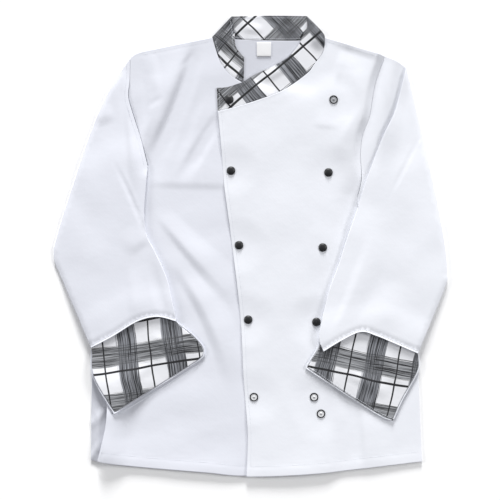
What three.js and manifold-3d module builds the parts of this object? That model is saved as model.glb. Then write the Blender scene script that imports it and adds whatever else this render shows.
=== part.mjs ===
// Chef jacket laid flat on the floor, front up, fastened left front over right front.
// Millimetres. X runs to the wearer's left, Y to the collar, Z up.
// The origin is on the floor, under the middle of the jacket's outline.
//
// Each piece of cloth is a wall of even thickness. Its outline is cut from the edges in
// the tables below, and its height at each point of one shared grid is worked out from
// what lies under it: a piece rests on every piece laid before it that it covers, and
// comes down beside them in a soft slope. Folds are added on top of that.

import * as THREE from "three";
import { mergeVertices } from "three/addons/utils/BufferGeometryUtils.js";
import Module from "manifold-3d";

const wasm = await Module();
wasm.setup();

// Cloth and seams
const WALL = 1.6; // twill with its turned-in edges
const GAP = 0.3; // between pieces at a seam and between layers
const LABEL_WALL = 1;
const FOLD_WALL = 2.2; // cloth turned round at a folded edge, seen from above
const SLOPE = 40; // over which a piece comes down beside what it lies on
const FACING_TUCK = 16; // how far a cuff facing runs on inside the sleeve

// The shared grid of heights
const CELL = 20;
const GRID_LEFT = -360;
const GRID_HEM = -420;
const GRID_COLUMNS = 37;
const GRID_ROWS = 43;
const EDGE_STEP = 24; // distance between the points of a curved edge
const SAMPLE = 3; // distance between the points that test whether two pieces overlap

// Snaps
const SNAP_RADIUS = 7.5;
const RIVET_RADIUS = 2;
const RIVET_DEPTH = 1;
const SNAP_SIDES = 16;

// A table: the names of its columns, then its rows
function table(names, ...rows) {
  return rows.map((row) => Object.fromEntries(names.map((name, index) => [name, row[index]])));
}
const XY = ["x", "y"];

// Edges of the body, from the collar down
const BACK_NECK = table(XY, [-67, 364], [-27, 361], [30, 359], [87, 359], [130, 364]);
const RIGHT_SHOULDER = table(XY, [-67, 364], [-190, 339]);
const RIGHT_SHOULDER_END = table(XY, [-190, 339], [-203, 334], [-210, 327]);
const LEFT_SHOULDER = table(XY, [130, 364], [191, 346], [235, 331]);
const LEFT_SHOULDER_END = table(XY, [235, 331], [251, 325], [272, 312]);
const RIGHT_NECKLINE = table(XY, [-67, 364], [-59, 337], [-51, 318], [-36, 299], [-13, 284]);
const RIGHT_NECKLINE_HIDDEN = table(XY, [-13, 284], [4, 273], [47, 257], [100, 246], [150, 240]);
const LEFT_NECKLINE = table(
  XY, [130, 364], [127, 339], [112, 318], [99, 301], [59, 273], [15, 255], [-24, 243], [-57, 235],
);
const RIGHT_FRONT_EDGE = table(XY, [150, 240], [140, 0], [125, -397]);
const LEFT_FRONT_EDGE = table(
  XY, [-57, 235], [-51, 169], [-46, 105], [-34, 14], [-18, -121], [-12, -235], [-5, -329], [-7, -403],
);
const RIGHT_ARMHOLE = table(
  XY, [-210, 327], [-211, 288], [-213, 260], [-205, 230], [-192, 190], [-183, 155], [-179, 139],
);
const RIGHT_ARMHOLE_HIDDEN = table(XY, [-179, 139], [-184, 124], [-205, 113], [-249, 108]);
const LEFT_ARMHOLE = table(
  XY, [235, 331], [218, 283], [208, 227], [196, 194], [192, 159], [194, 118], [187, 85],
);
const LEFT_ARMHOLE_HIDDEN = table(XY, [187, 85], [205, 82], [238, 90], [268, 104]);
const RIGHT_BACK_ARMHOLE = table(XY, [-210, 327], [-219, 260], [-224, 200], [-234, 150], [-249, 108]);
const LEFT_BACK_ARMHOLE = table(XY, [238, 330], [236, 270], [234, 200], [243, 145], [268, 104]);
const RIGHT_BACK_SIDE = table(XY, [-249, 108], [-268, -50], [-277, -217], [-279, -375]);
const RIGHT_FRONT_SIDE = table(
  XY, [-249, 108], [-259, 0], [-258, -150], [-251, -250], [-252, -312], [-267, -376],
);
const LEFT_SIDE = table(XY, [268, 104], [283, 0], [293, -217], [297, -314], [300, -377]);
const BACK_HEM = table(
  XY, [-279, -375], [-207, -385], [-78, -396], [-7, -402], [45, -401], [125, -396], [300, -377],
);
const RIGHT_FRONT_HEM = table(XY, [-267, -376], [-207, -385], [-78, -396], [-7, -402], [125, -397]);
const LEFT_FRONT_HEM = table(XY, [-7, -403], [45, -402], [125, -397], [206, -388], [300, -377]);

// Edges of the sleeves. The arch is the end of the near ply, the cuff that of the far ply.
const RIGHT_SLEEVE_OUTER = table(
  XY, [-211, 327], [-236, 290], [-255, 255], [-284, 185], [-307, 115], [-330, 45], [-344, -5],
);
const RIGHT_SLEEVE_ELBOW = table(XY, [-344, -5], [-343, -26], [-336, -43]);
const RIGHT_SLEEVE_FOREARM = table(XY, [-336, -43], [-278, -178]);
const RIGHT_SLEEVE_INNER = table(
  XY, [-129, -132], [-136, -98], [-146, -56], [-167, -9], [-181, 19], [-185, 57], [-182, 103], [-179, 139],
);
const RIGHT_ARCH = table(XY, [-278, -178], [-240, -158], [-197, -132], [-162, -124], [-129, -132]);
const RIGHT_CUFF_SIDE = table(XY, [-129, -132], [-102, -153], [-83, -174], [-80, -190], [-90, -201]);
const RIGHT_CUFF_END = table(XY, [-90, -201], [-143, -235], [-237, -293]);
const RIGHT_CUFF_CORNER = table(XY, [-237, -293], [-276, -226], [-278, -178]);

const LEFT_SLEEVE_OUTER = table(
  XY, [272, 312], [286, 255], [302, 185], [318, 115], [332, 45], [342, -16], [343, -52],
);
const LEFT_SLEEVE_FOREARM = table(XY, [343, -52], [340, -72], [292, -188]);
const LEFT_SLEEVE_INNER = table(
  XY, [121, -170], [119, -158], [125, -126], [137, -77], [153, -34], [167, 10], [187, 67],
);
const LEFT_SLEEVE_FOLD = table(XY, [187, 67], [202, 115], [230, 189], [252, 236], [272, 312]);
const LEFT_ARCH_TIP = table(XY, [127, -184], [121, -170]);
const LEFT_ARCH = table(XY, [292, -188], [248, -169], [219, -157], [192, -150], [160, -164], [127, -184]);
const LEFT_FACING_END = table(
  XY, [292, -188], [248, -169], [219, -157], [192, -152], [160, -164], [122, -172],
);
const LEFT_CUFF_CORNER = table(XY, [292, -188], [295, -214], [265, -270], [249, -306]);
const LEFT_CUFF_END = table(XY, [249, -306], [215, -291], [95, -213]);
const LEFT_CUFF_SIDE = table(XY, [95, -213], [121, -170]);

// Edges of the collar. The band folds over at both sides of the neck.
const COLLAR_TOP = table(XY, [-33, 401], [30, 402.5], [98, 402]);
const COLLAR_RIGHT_FOLD = table(XY, [-67, 365], [-33, 401]);
const COLLAR_LEFT_FOLD = table(XY, [98, 402], [114, 386], [127, 371], [130, 365]);
const COLLAR_RIGHT_FREE = table(
  XY, [-11, 330], [-23, 343], [-27, 355], [-28, 372], [-30, 387], [-33, 401],
);
const COLLAR_RIGHT_END = table(XY, [-12, 285], [-11, 330]);
const COLLAR_LEFT_FREE = table(
  XY, [98, 402], [99, 383], [92, 369], [84, 351], [66, 330], [36, 312], [10, 301], [-13, 286],
);
const COLLAR_LEFT_TAB = table(XY, [-13, 286], [-41, 277], [-59, 276]);
const COLLAR_LEFT_END = table(XY, [-59, 276], [-57, 236]);

// Folds: a ridge from x, y to endX, endY, with its height and how far it reaches to each side
const FOLD = ["x", "y", "endX", "endY", "height", "reach"];
const RIGHT_FRONT_FOLDS = table(
  FOLD,
  [-152, 306, -184, 214, 5, 30],
  [-104, 312, -146, 178, 7, 34],
  [-66, 250, -104, 150, 5, 28],
  [-176, 98, -60, 98, 3, 26],
  [-150, 34, -52, -74, 5, 26],
  [-130, -46, -42, -205, 7, 32],
  [-232, -300, -226, -372, 3, 24],
);
const LEFT_FRONT_FOLDS = table(
  FOLD,
  [160, 322, 152, 272, 3, 26],
  [205, 300, 172, 120, 6, 34],
  [114, 60, 104, -40, 3, 34],
  [34, 236, 20, 120, 2, 40],
  [212, -262, 222, -372, 4, 28],
);
const RIGHT_SLEEVE_FOLDS = table(
  FOLD,
  [-238, 248, -262, 130, 6, 34],
  [-208, 200, -214, 92, 5, 26],
  [-252, 20, -206, -110, 6, 40],
  [-300, 20, -282, -100, 4, 36],
);
const LEFT_SLEEVE_FOLDS = table(
  FOLD,
  [298, 190, 240, 84, 4, 30],
  [214, 20, 150, -140, 7, 34],
  [312, 10, 262, -140, 5, 42],
);
const COLLAR_RIGHT_FOLDS = table(FOLD, [-44, 392, -50, 344, 6, 26]);
const COLLAR_LEFT_FOLDS = table(FOLD, [108, 394, 112, 352, 7, 30]);

// Colours as the jacket shows them
const TWILL = { color: 0xeef1f7, roughness: 0.9, metalness: 0 };
const PRINT = { color: 0x8b8d92, roughness: 0.85, metalness: 0 };
const LABEL = { color: 0xf4f4f2, roughness: 0.7, metalness: 0 };
const DARK_METAL = { color: 0x1c1d20, roughness: 0.35, metalness: 0.4 };
const PLAIN_METAL = { color: 0xb7b9bb, roughness: 0.3, metalness: 0.9 };

// Snaps: where each sits, the piece it goes through and its kind of cap
const SNAP = ["name", "x", "y", "cap"];
const COLLAR_SNAPS = table(SNAP, ["snap_collar", -37, 255, "dome"]);
const FRONT_SNAPS = table(
  SNAP,
  ["snap_column_edge_1", -34, 131, "dome"],
  ["snap_column_edge_2", -20, 1, "dome"],
  ["snap_column_edge_3", -4, -129, "dome"],
  ["snap_column_edge_4", 6, -264, "dished"],
  ["snap_column_chest_0", 145, 255, "dome"],
  ["snap_column_chest_1", 136, 128, "dome"],
  ["snap_column_chest_2", 126, -3, "dome"],
  ["snap_column_chest_3", 115, -133, "dome"],
  ["snap_column_chest_4", 111, -264, "dished"],
  ["snap_column_chest_5", 123, -293, "dished"],
);

// Outlines

// A line through a table's rows, with a point about every EDGE_STEP
function line(rows) {
  const spline = new THREE.SplineCurve(rows.map(({ x, y }) => new THREE.Vector2(x, y)));
  if (rows.length === 2) {
    return spline.getPoints(1);
  }
  return spline.getSpacedPoints(Math.max(3, Math.round(spline.getLength() / EDGE_STEP)));
}

function backwards(points) {
  return [...points].reverse();
}

// The line moved sideways, to the left of its own direction
function moved(points, distance) {
  return points.map((point, index) => {
    const before = points[Math.max(index - 1, 0)];
    const after = points[Math.min(index + 1, points.length - 1)];
    const along = after.clone().sub(before).normalize();
    return new THREE.Vector2(point.x - along.y * distance, point.y + along.x * distance);
  });
}

// Edges set end to end, without the points that two edges share
function outline(...edges) {
  const points = edges.flat();
  return points.filter((point, index) => {
    const next = points[(index + 1) % points.length];
    return point.distanceTo(next) > 2 * GAP;
  });
}

function inside(points, x, y) {
  let odd = false;
  points.forEach((point, index) => {
    const next = points[(index + 1) % points.length];
    if (point.y > y !== next.y > y) {
      const crossing = point.x + ((y - point.y) * (next.x - point.x)) / (next.y - point.y);
      if (x < crossing) {
        odd = !odd;
      }
    }
  });
  return odd;
}

// Heights on the shared grid

const nodes = [];
for (let row = 0; row < GRID_ROWS; row += 1) {
  for (let column = 0; column < GRID_COLUMNS; column += 1) {
    nodes.push(new THREE.Vector2(GRID_LEFT + column * CELL, GRID_HEM + row * CELL));
  }
}

// Points in both outlines: on an even grid, and along each outline for narrow overlaps
function overlap(upper, lower) {
  const probes = [];
  const box = new THREE.Box2().setFromPoints(upper).intersect(new THREE.Box2().setFromPoints(lower));
  for (let y = box.min.y; y <= box.max.y; y += SAMPLE) {
    for (let x = box.min.x; x <= box.max.x; x += SAMPLE) {
      probes.push(new THREE.Vector2(x, y));
    }
  }
  [upper, lower].forEach((points) => {
    points.forEach((point, index) => {
      const next = points[(index + 1) % points.length];
      const steps = Math.ceil(point.distanceTo(next) / SAMPLE);
      for (let step = 0; step < steps; step += 1) {
        probes.push(point.clone().lerp(next, step / steps));
      }
    });
  });
  return probes.filter(({ x, y }) => inside(upper, x, y) && inside(lower, x, y));
}

// How much each node is lifted by a lower piece: 1 at the corners of every cell in which
// the two pieces overlap, and less with distance from there
function liftOver(upper, lower) {
  const touched = new Set();
  overlap(upper, lower).forEach(({ x, y }) => {
    const row = Math.floor((y - GRID_HEM) / CELL);
    const corner = row * GRID_COLUMNS + Math.floor((x - GRID_LEFT) / CELL);
    [0, 1, GRID_COLUMNS, GRID_COLUMNS + 1].forEach((step) => touched.add(corner + step));
  });
  const centres = [...touched].map((index) => nodes[index]);
  return nodes.map((node) => {
    const distance = Math.min(SLOPE, ...centres.map((centre) => centre.distanceTo(node)));
    return 1 - THREE.MathUtils.smoothstep(distance, 0, SLOPE);
  });
}

function foldHeight(folds, node) {
  return folds.reduce((height, fold) => {
    const start = new THREE.Vector3(fold.x, fold.y, 0);
    const end = new THREE.Vector3(fold.endX, fold.endY, 0);
    const here = new THREE.Vector3(node.x, node.y, 0);
    const nearest = new THREE.Line3(start, end).closestPointToPoint(here, true, new THREE.Vector3());
    const share = Math.min(1, nearest.distanceTo(here) / fold.reach);
    return Math.max(height, fold.height * (1 - share * share) ** 2);
  }, 0);
}

// Lays a piece on all that was laid before it, and returns its outline and its two faces
const laid = [];
function lay(points, folds = [], wall = WALL) {
  const under = nodes.map(() => 0);
  laid.forEach((lower) => {
    const lift = liftOver(points, lower.points);
    lower.over.forEach((height, index) => {
      under[index] = Math.max(under[index], lift[index] * (height + GAP));
    });
  });
  nodes.forEach((node, index) => {
    under[index] += foldHeight(folds, node);
  });
  const piece = { points, under, over: under.map((height) => height + wall) };
  laid.push(piece);
  return piece;
}

// Solids

function solidOf(geometry) {
  const shape = geometry.clone();
  shape.deleteAttribute("normal");
  shape.deleteAttribute("uv");
  const merged = mergeVertices(shape, 1e-4);
  return new wasm.Manifold(
    new wasm.Mesh({
      numProp: 3,
      vertProperties: new Float32Array(merged.attributes.position.array),
      triVerts: new Uint32Array(merged.index.array),
    }),
  );
}

function geometryOf(solid) {
  const { vertProperties, triVerts } = solid.getMesh();
  const geometry = new THREE.BufferGeometry();
  geometry.setAttribute("position", new THREE.BufferAttribute(vertProperties, 3));
  geometry.setIndex(new THREE.BufferAttribute(triVerts, 1));
  geometry.computeVertexNormals();
  return geometry;
}

// The block between two sets of heights over the whole grid
function blockBetween(under, over) {
  const positions = [];
  [under, over].forEach((heights) => {
    nodes.forEach((node, index) => positions.push(node.x, node.y, heights[index]));
  });
  const faces = [];
  const quad = (a, b, c, d) => faces.push(a, b, c, a, c, d);
  const top = nodes.length;
  for (let row = 0; row < GRID_ROWS - 1; row += 1) {
    for (let column = 0; column < GRID_COLUMNS - 1; column += 1) {
      const a = row * GRID_COLUMNS + column;
      const b = a + 1;
      const c = a + GRID_COLUMNS + 1;
      const d = a + GRID_COLUMNS;
      quad(top + a, top + b, top + c, top + d);
      faces.push(a, c, b, a, d, c);
    }
  }
  const last = (GRID_ROWS - 1) * GRID_COLUMNS;
  for (let column = 0; column < GRID_COLUMNS - 1; column += 1) {
    quad(column, column + 1, top + column + 1, top + column);
    quad(last + column + 1, last + column, top + last + column, top + last + column + 1);
  }
  for (let row = 0; row < GRID_ROWS - 1; row += 1) {
    const a = row * GRID_COLUMNS;
    const b = a + GRID_COLUMNS - 1;
    quad(a + GRID_COLUMNS, a, top + a, top + a + GRID_COLUMNS);
    quad(b, b + GRID_COLUMNS, top + b + GRID_COLUMNS, top + b);
  }
  return new wasm.Manifold(
    new wasm.Mesh({
      numProp: 3,
      vertProperties: new Float32Array(positions),
      triVerts: new Uint32Array(faces),
    }),
  );
}

// An upright prism on an outline, taller than anything in the jacket
const LOWEST = -10;
const HIGHEST = 80;
function prism(points) {
  const depth = HIGHEST - LOWEST;
  const extruded = new THREE.ExtrudeGeometry(new THREE.Shape(points), { depth, bevelEnabled: false });
  return solidOf(extruded.translate(0, 0, LOWEST));
}

function cut(under, over, points) {
  return blockBetween(under, over).intersect(prism(points));
}

function ply(piece) {
  return cut(piece.under, piece.over, piece.points);
}

// The cloth that turns round at a folded edge, from the lower ply to the upper one.
// The ply lies to the left of the edge's direction.
function turn(lower, upper, edge) {
  const strip = [...edge, ...backwards(moved(edge, FOLD_WALL))];
  return cut(lower.under, upper.over, strip)
    .intersect(prism(lower.points))
    .intersect(prism(upper.points));
}

// The cloth with a round hole for the rivet of each snap
function pierced(solid, snaps) {
  const radius = RIVET_RADIUS + GAP;
  return snaps.reduce((rest, { x, y }) => {
    const hole = new THREE.CylinderGeometry(radius, radius, HIGHEST, SNAP_SIDES);
    return rest.subtract(solidOf(hole.rotateX(Math.PI / 2).translate(x, y, 0)));
  }, solid);
}

const jacket = new THREE.Group();

// Flat stretches need no more faces than their outline gives them
const FLATNESS = 0.02;

function addPiece(name, solid, finish) {
  const plain = solid.asOriginal().simplify(FLATNESS);
  const mesh = new THREE.Mesh(geometryOf(plain), new THREE.MeshStandardMaterial(finish));
  mesh.name = name;
  jacket.add(mesh);
}

// Pieces laid in order, from the floor up

const backPoints = outline(
  line(BACK_NECK),
  line(LEFT_SHOULDER),
  line(LEFT_BACK_ARMHOLE),
  line(LEFT_SIDE),
  backwards(line(BACK_HEM)),
  backwards(line(RIGHT_BACK_SIDE)),
  backwards(line(RIGHT_BACK_ARMHOLE)),
  backwards(line(RIGHT_SHOULDER_END)),
  backwards(line(RIGHT_SHOULDER)),
);
const back = lay(backPoints);

const collarBackPoints = outline(
  moved(line(BACK_NECK), GAP),
  backwards(line(COLLAR_LEFT_FOLD)),
  backwards(line(COLLAR_TOP)),
  backwards(line(COLLAR_RIGHT_FOLD)),
);
const collarBack = lay(collarBackPoints);

const rightFrontPoints = outline(
  line(RIGHT_NECKLINE),
  line(RIGHT_NECKLINE_HIDDEN),
  line(RIGHT_FRONT_EDGE),
  backwards(line(RIGHT_FRONT_HEM)),
  backwards(line(RIGHT_FRONT_SIDE)),
  backwards(line(RIGHT_ARMHOLE_HIDDEN)),
  backwards(line(RIGHT_ARMHOLE)),
  backwards(line(RIGHT_SHOULDER_END)),
  backwards(line(RIGHT_SHOULDER)),
);
const rightFront = lay(rightFrontPoints, RIGHT_FRONT_FOLDS);

const collarRightPoints = outline(
  moved(line(RIGHT_NECKLINE), GAP),
  line(COLLAR_RIGHT_END),
  line(COLLAR_RIGHT_FREE),
  backwards(line(COLLAR_RIGHT_FOLD)),
);
const collarRight = lay(collarRightPoints, COLLAR_RIGHT_FOLDS);

const LABEL_BOX = { left: 11, right: 36, bottom: 331, top: 356 };
const labelPoints = [
  new THREE.Vector2(LABEL_BOX.left, LABEL_BOX.bottom),
  new THREE.Vector2(LABEL_BOX.right, LABEL_BOX.bottom),
  new THREE.Vector2(LABEL_BOX.right, LABEL_BOX.top),
  new THREE.Vector2(LABEL_BOX.left, LABEL_BOX.top),
];
const label = lay(labelPoints, [], LABEL_WALL);

const leftFrontPoints = outline(
  backwards(line(LEFT_NECKLINE)),
  line(LEFT_SHOULDER),
  line(LEFT_ARMHOLE),
  line(LEFT_ARMHOLE_HIDDEN),
  line(LEFT_SIDE),
  backwards(line(LEFT_FRONT_HEM)),
  backwards(line(LEFT_FRONT_EDGE)),
);
const leftFront = lay(leftFrontPoints, LEFT_FRONT_FOLDS);

const collarLeftPoints = outline(
  moved(line(LEFT_NECKLINE), -GAP),
  backwards(line(COLLAR_LEFT_END)),
  backwards(line(COLLAR_LEFT_TAB)),
  backwards(line(COLLAR_LEFT_FREE)),
  line(COLLAR_LEFT_FOLD),
);
const collarLeft = lay(collarLeftPoints, COLLAR_LEFT_FOLDS);

// The edge of a facing inside the sleeve. Near the folded edges it keeps outside the arch.
// The sleeve is on the side of the arch that inward says: 1 is left of its direction.
function tucked(arch, inward) {
  const beside = moved(arch, -inward * GAP);
  const within = moved(arch, inward * FACING_TUCK);
  return [...beside.slice(0, 2), ...within.slice(1, -1), ...beside.slice(-2)];
}

// A sleeve: its far ply, the facing on it and its near ply, joined at the folded edges
function laySleeve({ farPoints, facingPoints, nearPoints, folds }) {
  const far = lay(farPoints);
  const facing = lay(facingPoints);
  const near = lay(nearPoints, folds);
  return { far, facing, near };
}

const rightOuter = outline(
  line(RIGHT_SLEEVE_OUTER),
  line(RIGHT_SLEEVE_ELBOW),
  line(RIGHT_SLEEVE_FOREARM),
);
const rightInner = line(RIGHT_SLEEVE_INNER);
const rightSeam = backwards(moved(line(RIGHT_ARMHOLE), -GAP));
const rightCuff = outline(
  backwards(line(RIGHT_CUFF_CORNER)),
  backwards(line(RIGHT_CUFF_END)),
  backwards(line(RIGHT_CUFF_SIDE)),
);
const rightSleeve = laySleeve({
  farPoints: outline(rightOuter, rightCuff, rightInner, rightSeam),
  facingPoints: outline(rightCuff.slice(1, -1), backwards(tucked(line(RIGHT_ARCH), 1))),
  nearPoints: outline(rightOuter, line(RIGHT_ARCH), rightInner, rightSeam),
  folds: RIGHT_SLEEVE_FOLDS,
});

const leftOuter = outline(line(LEFT_SLEEVE_OUTER), line(LEFT_SLEEVE_FOREARM));
const leftInner = line(LEFT_SLEEVE_INNER);
const leftFold = line(LEFT_SLEEVE_FOLD);
const leftSeam = moved(line(LEFT_ARMHOLE), GAP);
const leftCuff = outline(line(LEFT_CUFF_CORNER), line(LEFT_CUFF_END), line(LEFT_CUFF_SIDE));
const leftSleeve = laySleeve({
  farPoints: outline(
    leftOuter,
    leftCuff,
    leftInner,
    backwards(leftSeam),
    line(LEFT_SHOULDER_END).slice(1),
  ),
  facingPoints: outline(leftCuff.slice(1, -1), backwards(tucked(line(LEFT_FACING_END), -1))),
  nearPoints: outline(leftOuter, line(LEFT_ARCH), line(LEFT_ARCH_TIP), leftInner, leftFold),
  folds: LEFT_SLEEVE_FOLDS,
});

// Solids of the cloth

addPiece("back_panel", ply(back), TWILL);
addPiece("front_right", ply(rightFront), TWILL);
addPiece("front_left", pierced(ply(leftFront), FRONT_SNAPS), TWILL);

const band = ply(collarBack)
  .add(ply(collarRight))
  .add(ply(collarLeft))
  .add(turn(collarBack, collarRight, backwards(line(COLLAR_RIGHT_FOLD))))
  .add(turn(collarBack, collarLeft, backwards(line(COLLAR_LEFT_FOLD))));
addPiece("collar", pierced(band, COLLAR_SNAPS), PRINT);
addPiece("neck_label", ply(label), LABEL);

const rightTube = ply(rightSleeve.far)
  .add(ply(rightSleeve.near))
  .add(turn(rightSleeve.far, rightSleeve.near, rightOuter))
  .add(turn(rightSleeve.far, rightSleeve.near, rightInner));
addPiece("sleeve_right", rightTube, TWILL);
addPiece("cuff_facing_right", ply(rightSleeve.facing), PRINT);

const leftTube = ply(leftSleeve.far)
  .add(ply(leftSleeve.near))
  .add(turn(leftSleeve.far, leftSleeve.near, backwards(leftOuter)))
  .add(turn(leftSleeve.far, leftSleeve.near, backwards(leftInner)))
  .add(turn(leftSleeve.far, leftSleeve.near, backwards(leftFold)));
addPiece("sleeve_left", leftTube, TWILL);
addPiece("cuff_facing_left", ply(leftSleeve.facing), PRINT);

// Snaps: a cap on the cloth, and its rivet in a round hole through it

// Profiles from the rivet's end to the middle of the cap: radius and height above the cloth
const PROFILE = ["radius", "height"];
const RIVET_PROFILE = table(
  PROFILE, [0, -RIVET_DEPTH], [RIVET_RADIUS, -RIVET_DEPTH], [RIVET_RADIUS, 0],
);
const DOME_PROFILE = table(
  PROFILE, [7.1, 0], [SNAP_RADIUS, 0.5], [7.2, 1.4], [5.6, 2.5], [3, 3.2], [0, 3.4],
);
const DISHED_PROFILE = table(
  PROFILE, [7.1, 0], [SNAP_RADIUS, 0.6], [7.1, 1.5], [6.3, 1.6], [5.2, 1], [1.8, 0.8], [1.3, 1.5], [0, 1.6],
);
const CAP_PROFILES = { dome: DOME_PROFILE, dished: DISHED_PROFILE };
const CAP_FINISHES = { dome: DARK_METAL, dished: PLAIN_METAL };

// The height of a piece's upper face at a point, on the cell's own two triangles
function heightAt(piece, x, y) {
  const column = Math.floor((x - GRID_LEFT) / CELL);
  const row = Math.floor((y - GRID_HEM) / CELL);
  const across = (x - GRID_LEFT) / CELL - column;
  const up = (y - GRID_HEM) / CELL - row;
  const corner = row * GRID_COLUMNS + column;
  const [a, b] = [piece.over[corner], piece.over[corner + 1]];
  const [d, c] = [piece.over[corner + GRID_COLUMNS], piece.over[corner + GRID_COLUMNS + 1]];
  if (across > up) {
    return a + (b - a) * across + (c - b) * up;
  }
  return a + (c - d) * across + (d - a) * up;
}

function seatHeight(piece, x, y) {
  const heights = [heightAt(piece, x, y)];
  for (let side = 0; side < SNAP_SIDES; side += 1) {
    const angle = (side * 2 * Math.PI) / SNAP_SIDES;
    const rimX = x + SNAP_RADIUS * Math.cos(angle);
    const rimY = y + SNAP_RADIUS * Math.sin(angle);
    heights.push(heightAt(piece, rimX, rimY));
  }
  return Math.max(...heights) + GAP;
}

function addSnap({ name, x, y, cap }, piece) {
  const profile = [...RIVET_PROFILE, ...CAP_PROFILES[cap]];
  const points = profile.map(({ radius, height }) => new THREE.Vector2(radius, height));
  const shape = new THREE.LatheGeometry(points, SNAP_SIDES).rotateX(Math.PI / 2);
  const mesh = new THREE.Mesh(shape, new THREE.MeshStandardMaterial(CAP_FINISHES[cap]));
  mesh.name = name;
  mesh.position.set(x, y, seatHeight(piece, x, y));
  jacket.add(mesh);
}

COLLAR_SNAPS.forEach((snap) => addSnap(snap, collarLeft));
FRONT_SNAPS.forEach((snap) => addSnap(snap, leftFront));

export default jacket;
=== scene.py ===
# %% [markdown]
# # A chef jacket, laid flat
#
# The jacket lies on a pale floor with its front up. It is a flat garment, so nearly all of
# its form is in three things: the outlines of its pieces, the order in which they lie on
# each other, and the soft folds in each. Each piece is therefore made from its own cutting
# outline and laid on the pieces below it, in the order in which the real ones lie.
#
# Edges and folds are in tables in millimetres, as on a cutter's pattern. `line` and
# `creases` turn them into metres, the unit of the scene.

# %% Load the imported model
import math
import random
from collections import namedtuple
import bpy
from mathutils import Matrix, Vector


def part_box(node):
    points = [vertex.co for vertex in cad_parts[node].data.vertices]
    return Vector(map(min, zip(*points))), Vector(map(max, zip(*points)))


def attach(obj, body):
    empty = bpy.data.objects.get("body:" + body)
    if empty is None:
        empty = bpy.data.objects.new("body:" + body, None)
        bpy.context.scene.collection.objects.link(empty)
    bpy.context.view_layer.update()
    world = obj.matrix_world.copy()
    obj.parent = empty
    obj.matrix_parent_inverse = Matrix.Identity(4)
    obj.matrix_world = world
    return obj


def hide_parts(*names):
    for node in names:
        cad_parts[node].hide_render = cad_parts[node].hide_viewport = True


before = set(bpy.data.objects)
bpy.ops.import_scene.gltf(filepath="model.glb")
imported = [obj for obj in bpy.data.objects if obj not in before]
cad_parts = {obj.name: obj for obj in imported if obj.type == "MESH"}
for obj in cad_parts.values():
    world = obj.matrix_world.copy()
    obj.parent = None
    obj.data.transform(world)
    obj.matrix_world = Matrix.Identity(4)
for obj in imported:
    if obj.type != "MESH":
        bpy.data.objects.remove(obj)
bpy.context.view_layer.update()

from types import SimpleNamespace

import bmesh
import bpy
import numpy as np
from mathutils import Vector
from mathutils.geometry import delaunay_2d_cdt

BODY = "root"
MM = 0.001

# %% [markdown]
# ## Edges of the pieces
#
# A seam is one edge that two pieces share, so each edge is written once and used by both.
# A smooth line through a few points is enough: cloth edges are long, calm curves, and
# corners come where two edges meet.

# %% Lines and outlines
EDGE_STEP = 4 * MM  # between the points of an edge
KNOT_STEPS = 24  # places worked out between two given points
SEAM_GAP = 0.3 * MM


def spaced(points, step):
    """The same line with a point about every step."""
    lengths = np.linalg.norm(np.diff(points, axis=0), axis=1)
    along = np.concatenate([[0], np.cumsum(lengths)])
    places = np.linspace(0, along[-1], max(1, round(along[-1] / step)) + 1)
    return np.column_stack([np.interp(places, along, points[:, axis]) for axis in (0, 1)])


def line(*rows):
    """A smooth line through rows of x and y in millimetres."""
    knots = np.array(rows, float) * MM
    if len(knots) == 2:
        return spaced(knots, EDGE_STEP)
    padded = np.vstack([knots[:1], knots, knots[-1:]])
    share = np.linspace(0, 1, KNOT_STEPS, endpoint=False)[:, None]
    stretches = []
    for before, start, end, after in zip(padded, padded[1:], padded[2:], padded[3:]):
        leave, arrive = (end - before) / 2, (after - start) / 2
        bend = 3 * (end - start) - 2 * leave - arrive
        twist = 2 * (start - end) + leave + arrive
        stretches.append(start + leave * share + bend * share**2 + twist * share**3)
    return spaced(np.vstack([*stretches, knots[-1:]]), EDGE_STEP)


def moved(points, distance):
    """The line moved to the left of its own direction."""
    along = np.gradient(points, axis=0)
    along /= np.linalg.norm(along, axis=1)[:, None]
    return points + distance * np.column_stack([-along[:, 1], along[:, 0]])


def joined(*edges):
    """Edges set end to end. Each after the first is turned round where it has to be."""
    chain = [edges[0]]
    for edge in edges[1:]:
        to_start, to_end = np.linalg.norm(edge[[0, -1]] - chain[-1][-1], axis=1)
        chain.append(edge if to_start < to_end else edge[::-1])
    return np.vstack(chain)


def signed_area(points):
    """Above 0 where an outline runs anticlockwise."""
    x, y = points.T
    return np.sum(x * np.roll(y, -1) - y * np.roll(x, -1)) / 2


def outline(*edges):
    """A closed outline, anticlockwise, without the points that two edges share."""
    points = joined(*edges)
    to_next = np.linalg.norm(points - np.roll(points, -1, axis=0), axis=1)
    points = points[to_next > 2 * SEAM_GAP]
    return points if signed_area(points) > 0 else points[::-1]


# %% Edges of the body
BACK_NECK = line((-67, 364), (-27, 361), (30, 359), (87, 359), (130, 364))
RIGHT_SHOULDER = line((-67, 364), (-190, 339))
RIGHT_SHOULDER_END = line((-190, 339), (-203, 334), (-210, 327))
LEFT_SHOULDER = line((130, 364), (191, 346), (235, 331))
LEFT_SHOULDER_END = line((235, 331), (251, 325), (272, 312))
RIGHT_NECKLINE = line((-67, 364), (-59, 337), (-51, 318), (-36, 299), (-13, 284))
RIGHT_NECKLINE_HIDDEN = line((-13, 284), (4, 273), (47, 257), (100, 246), (150, 240))
LEFT_NECKLINE = line(
    (130, 364), (127, 339), (112, 318), (99, 301), (59, 273), (15, 255), (-24, 243), (-57, 235)
)
RIGHT_FRONT_EDGE = line((150, 240), (140, 0), (125, -397))
LEFT_FRONT_EDGE = line(
    (-57, 235), (-51, 169), (-46, 105), (-34, 14), (-18, -121), (-12, -235), (-5, -329), (-7, -403)
)
RIGHT_ARMHOLE = line(
    (-210, 327), (-211, 288), (-213, 260), (-205, 230), (-192, 190), (-183, 155), (-179, 139)
)
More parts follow.
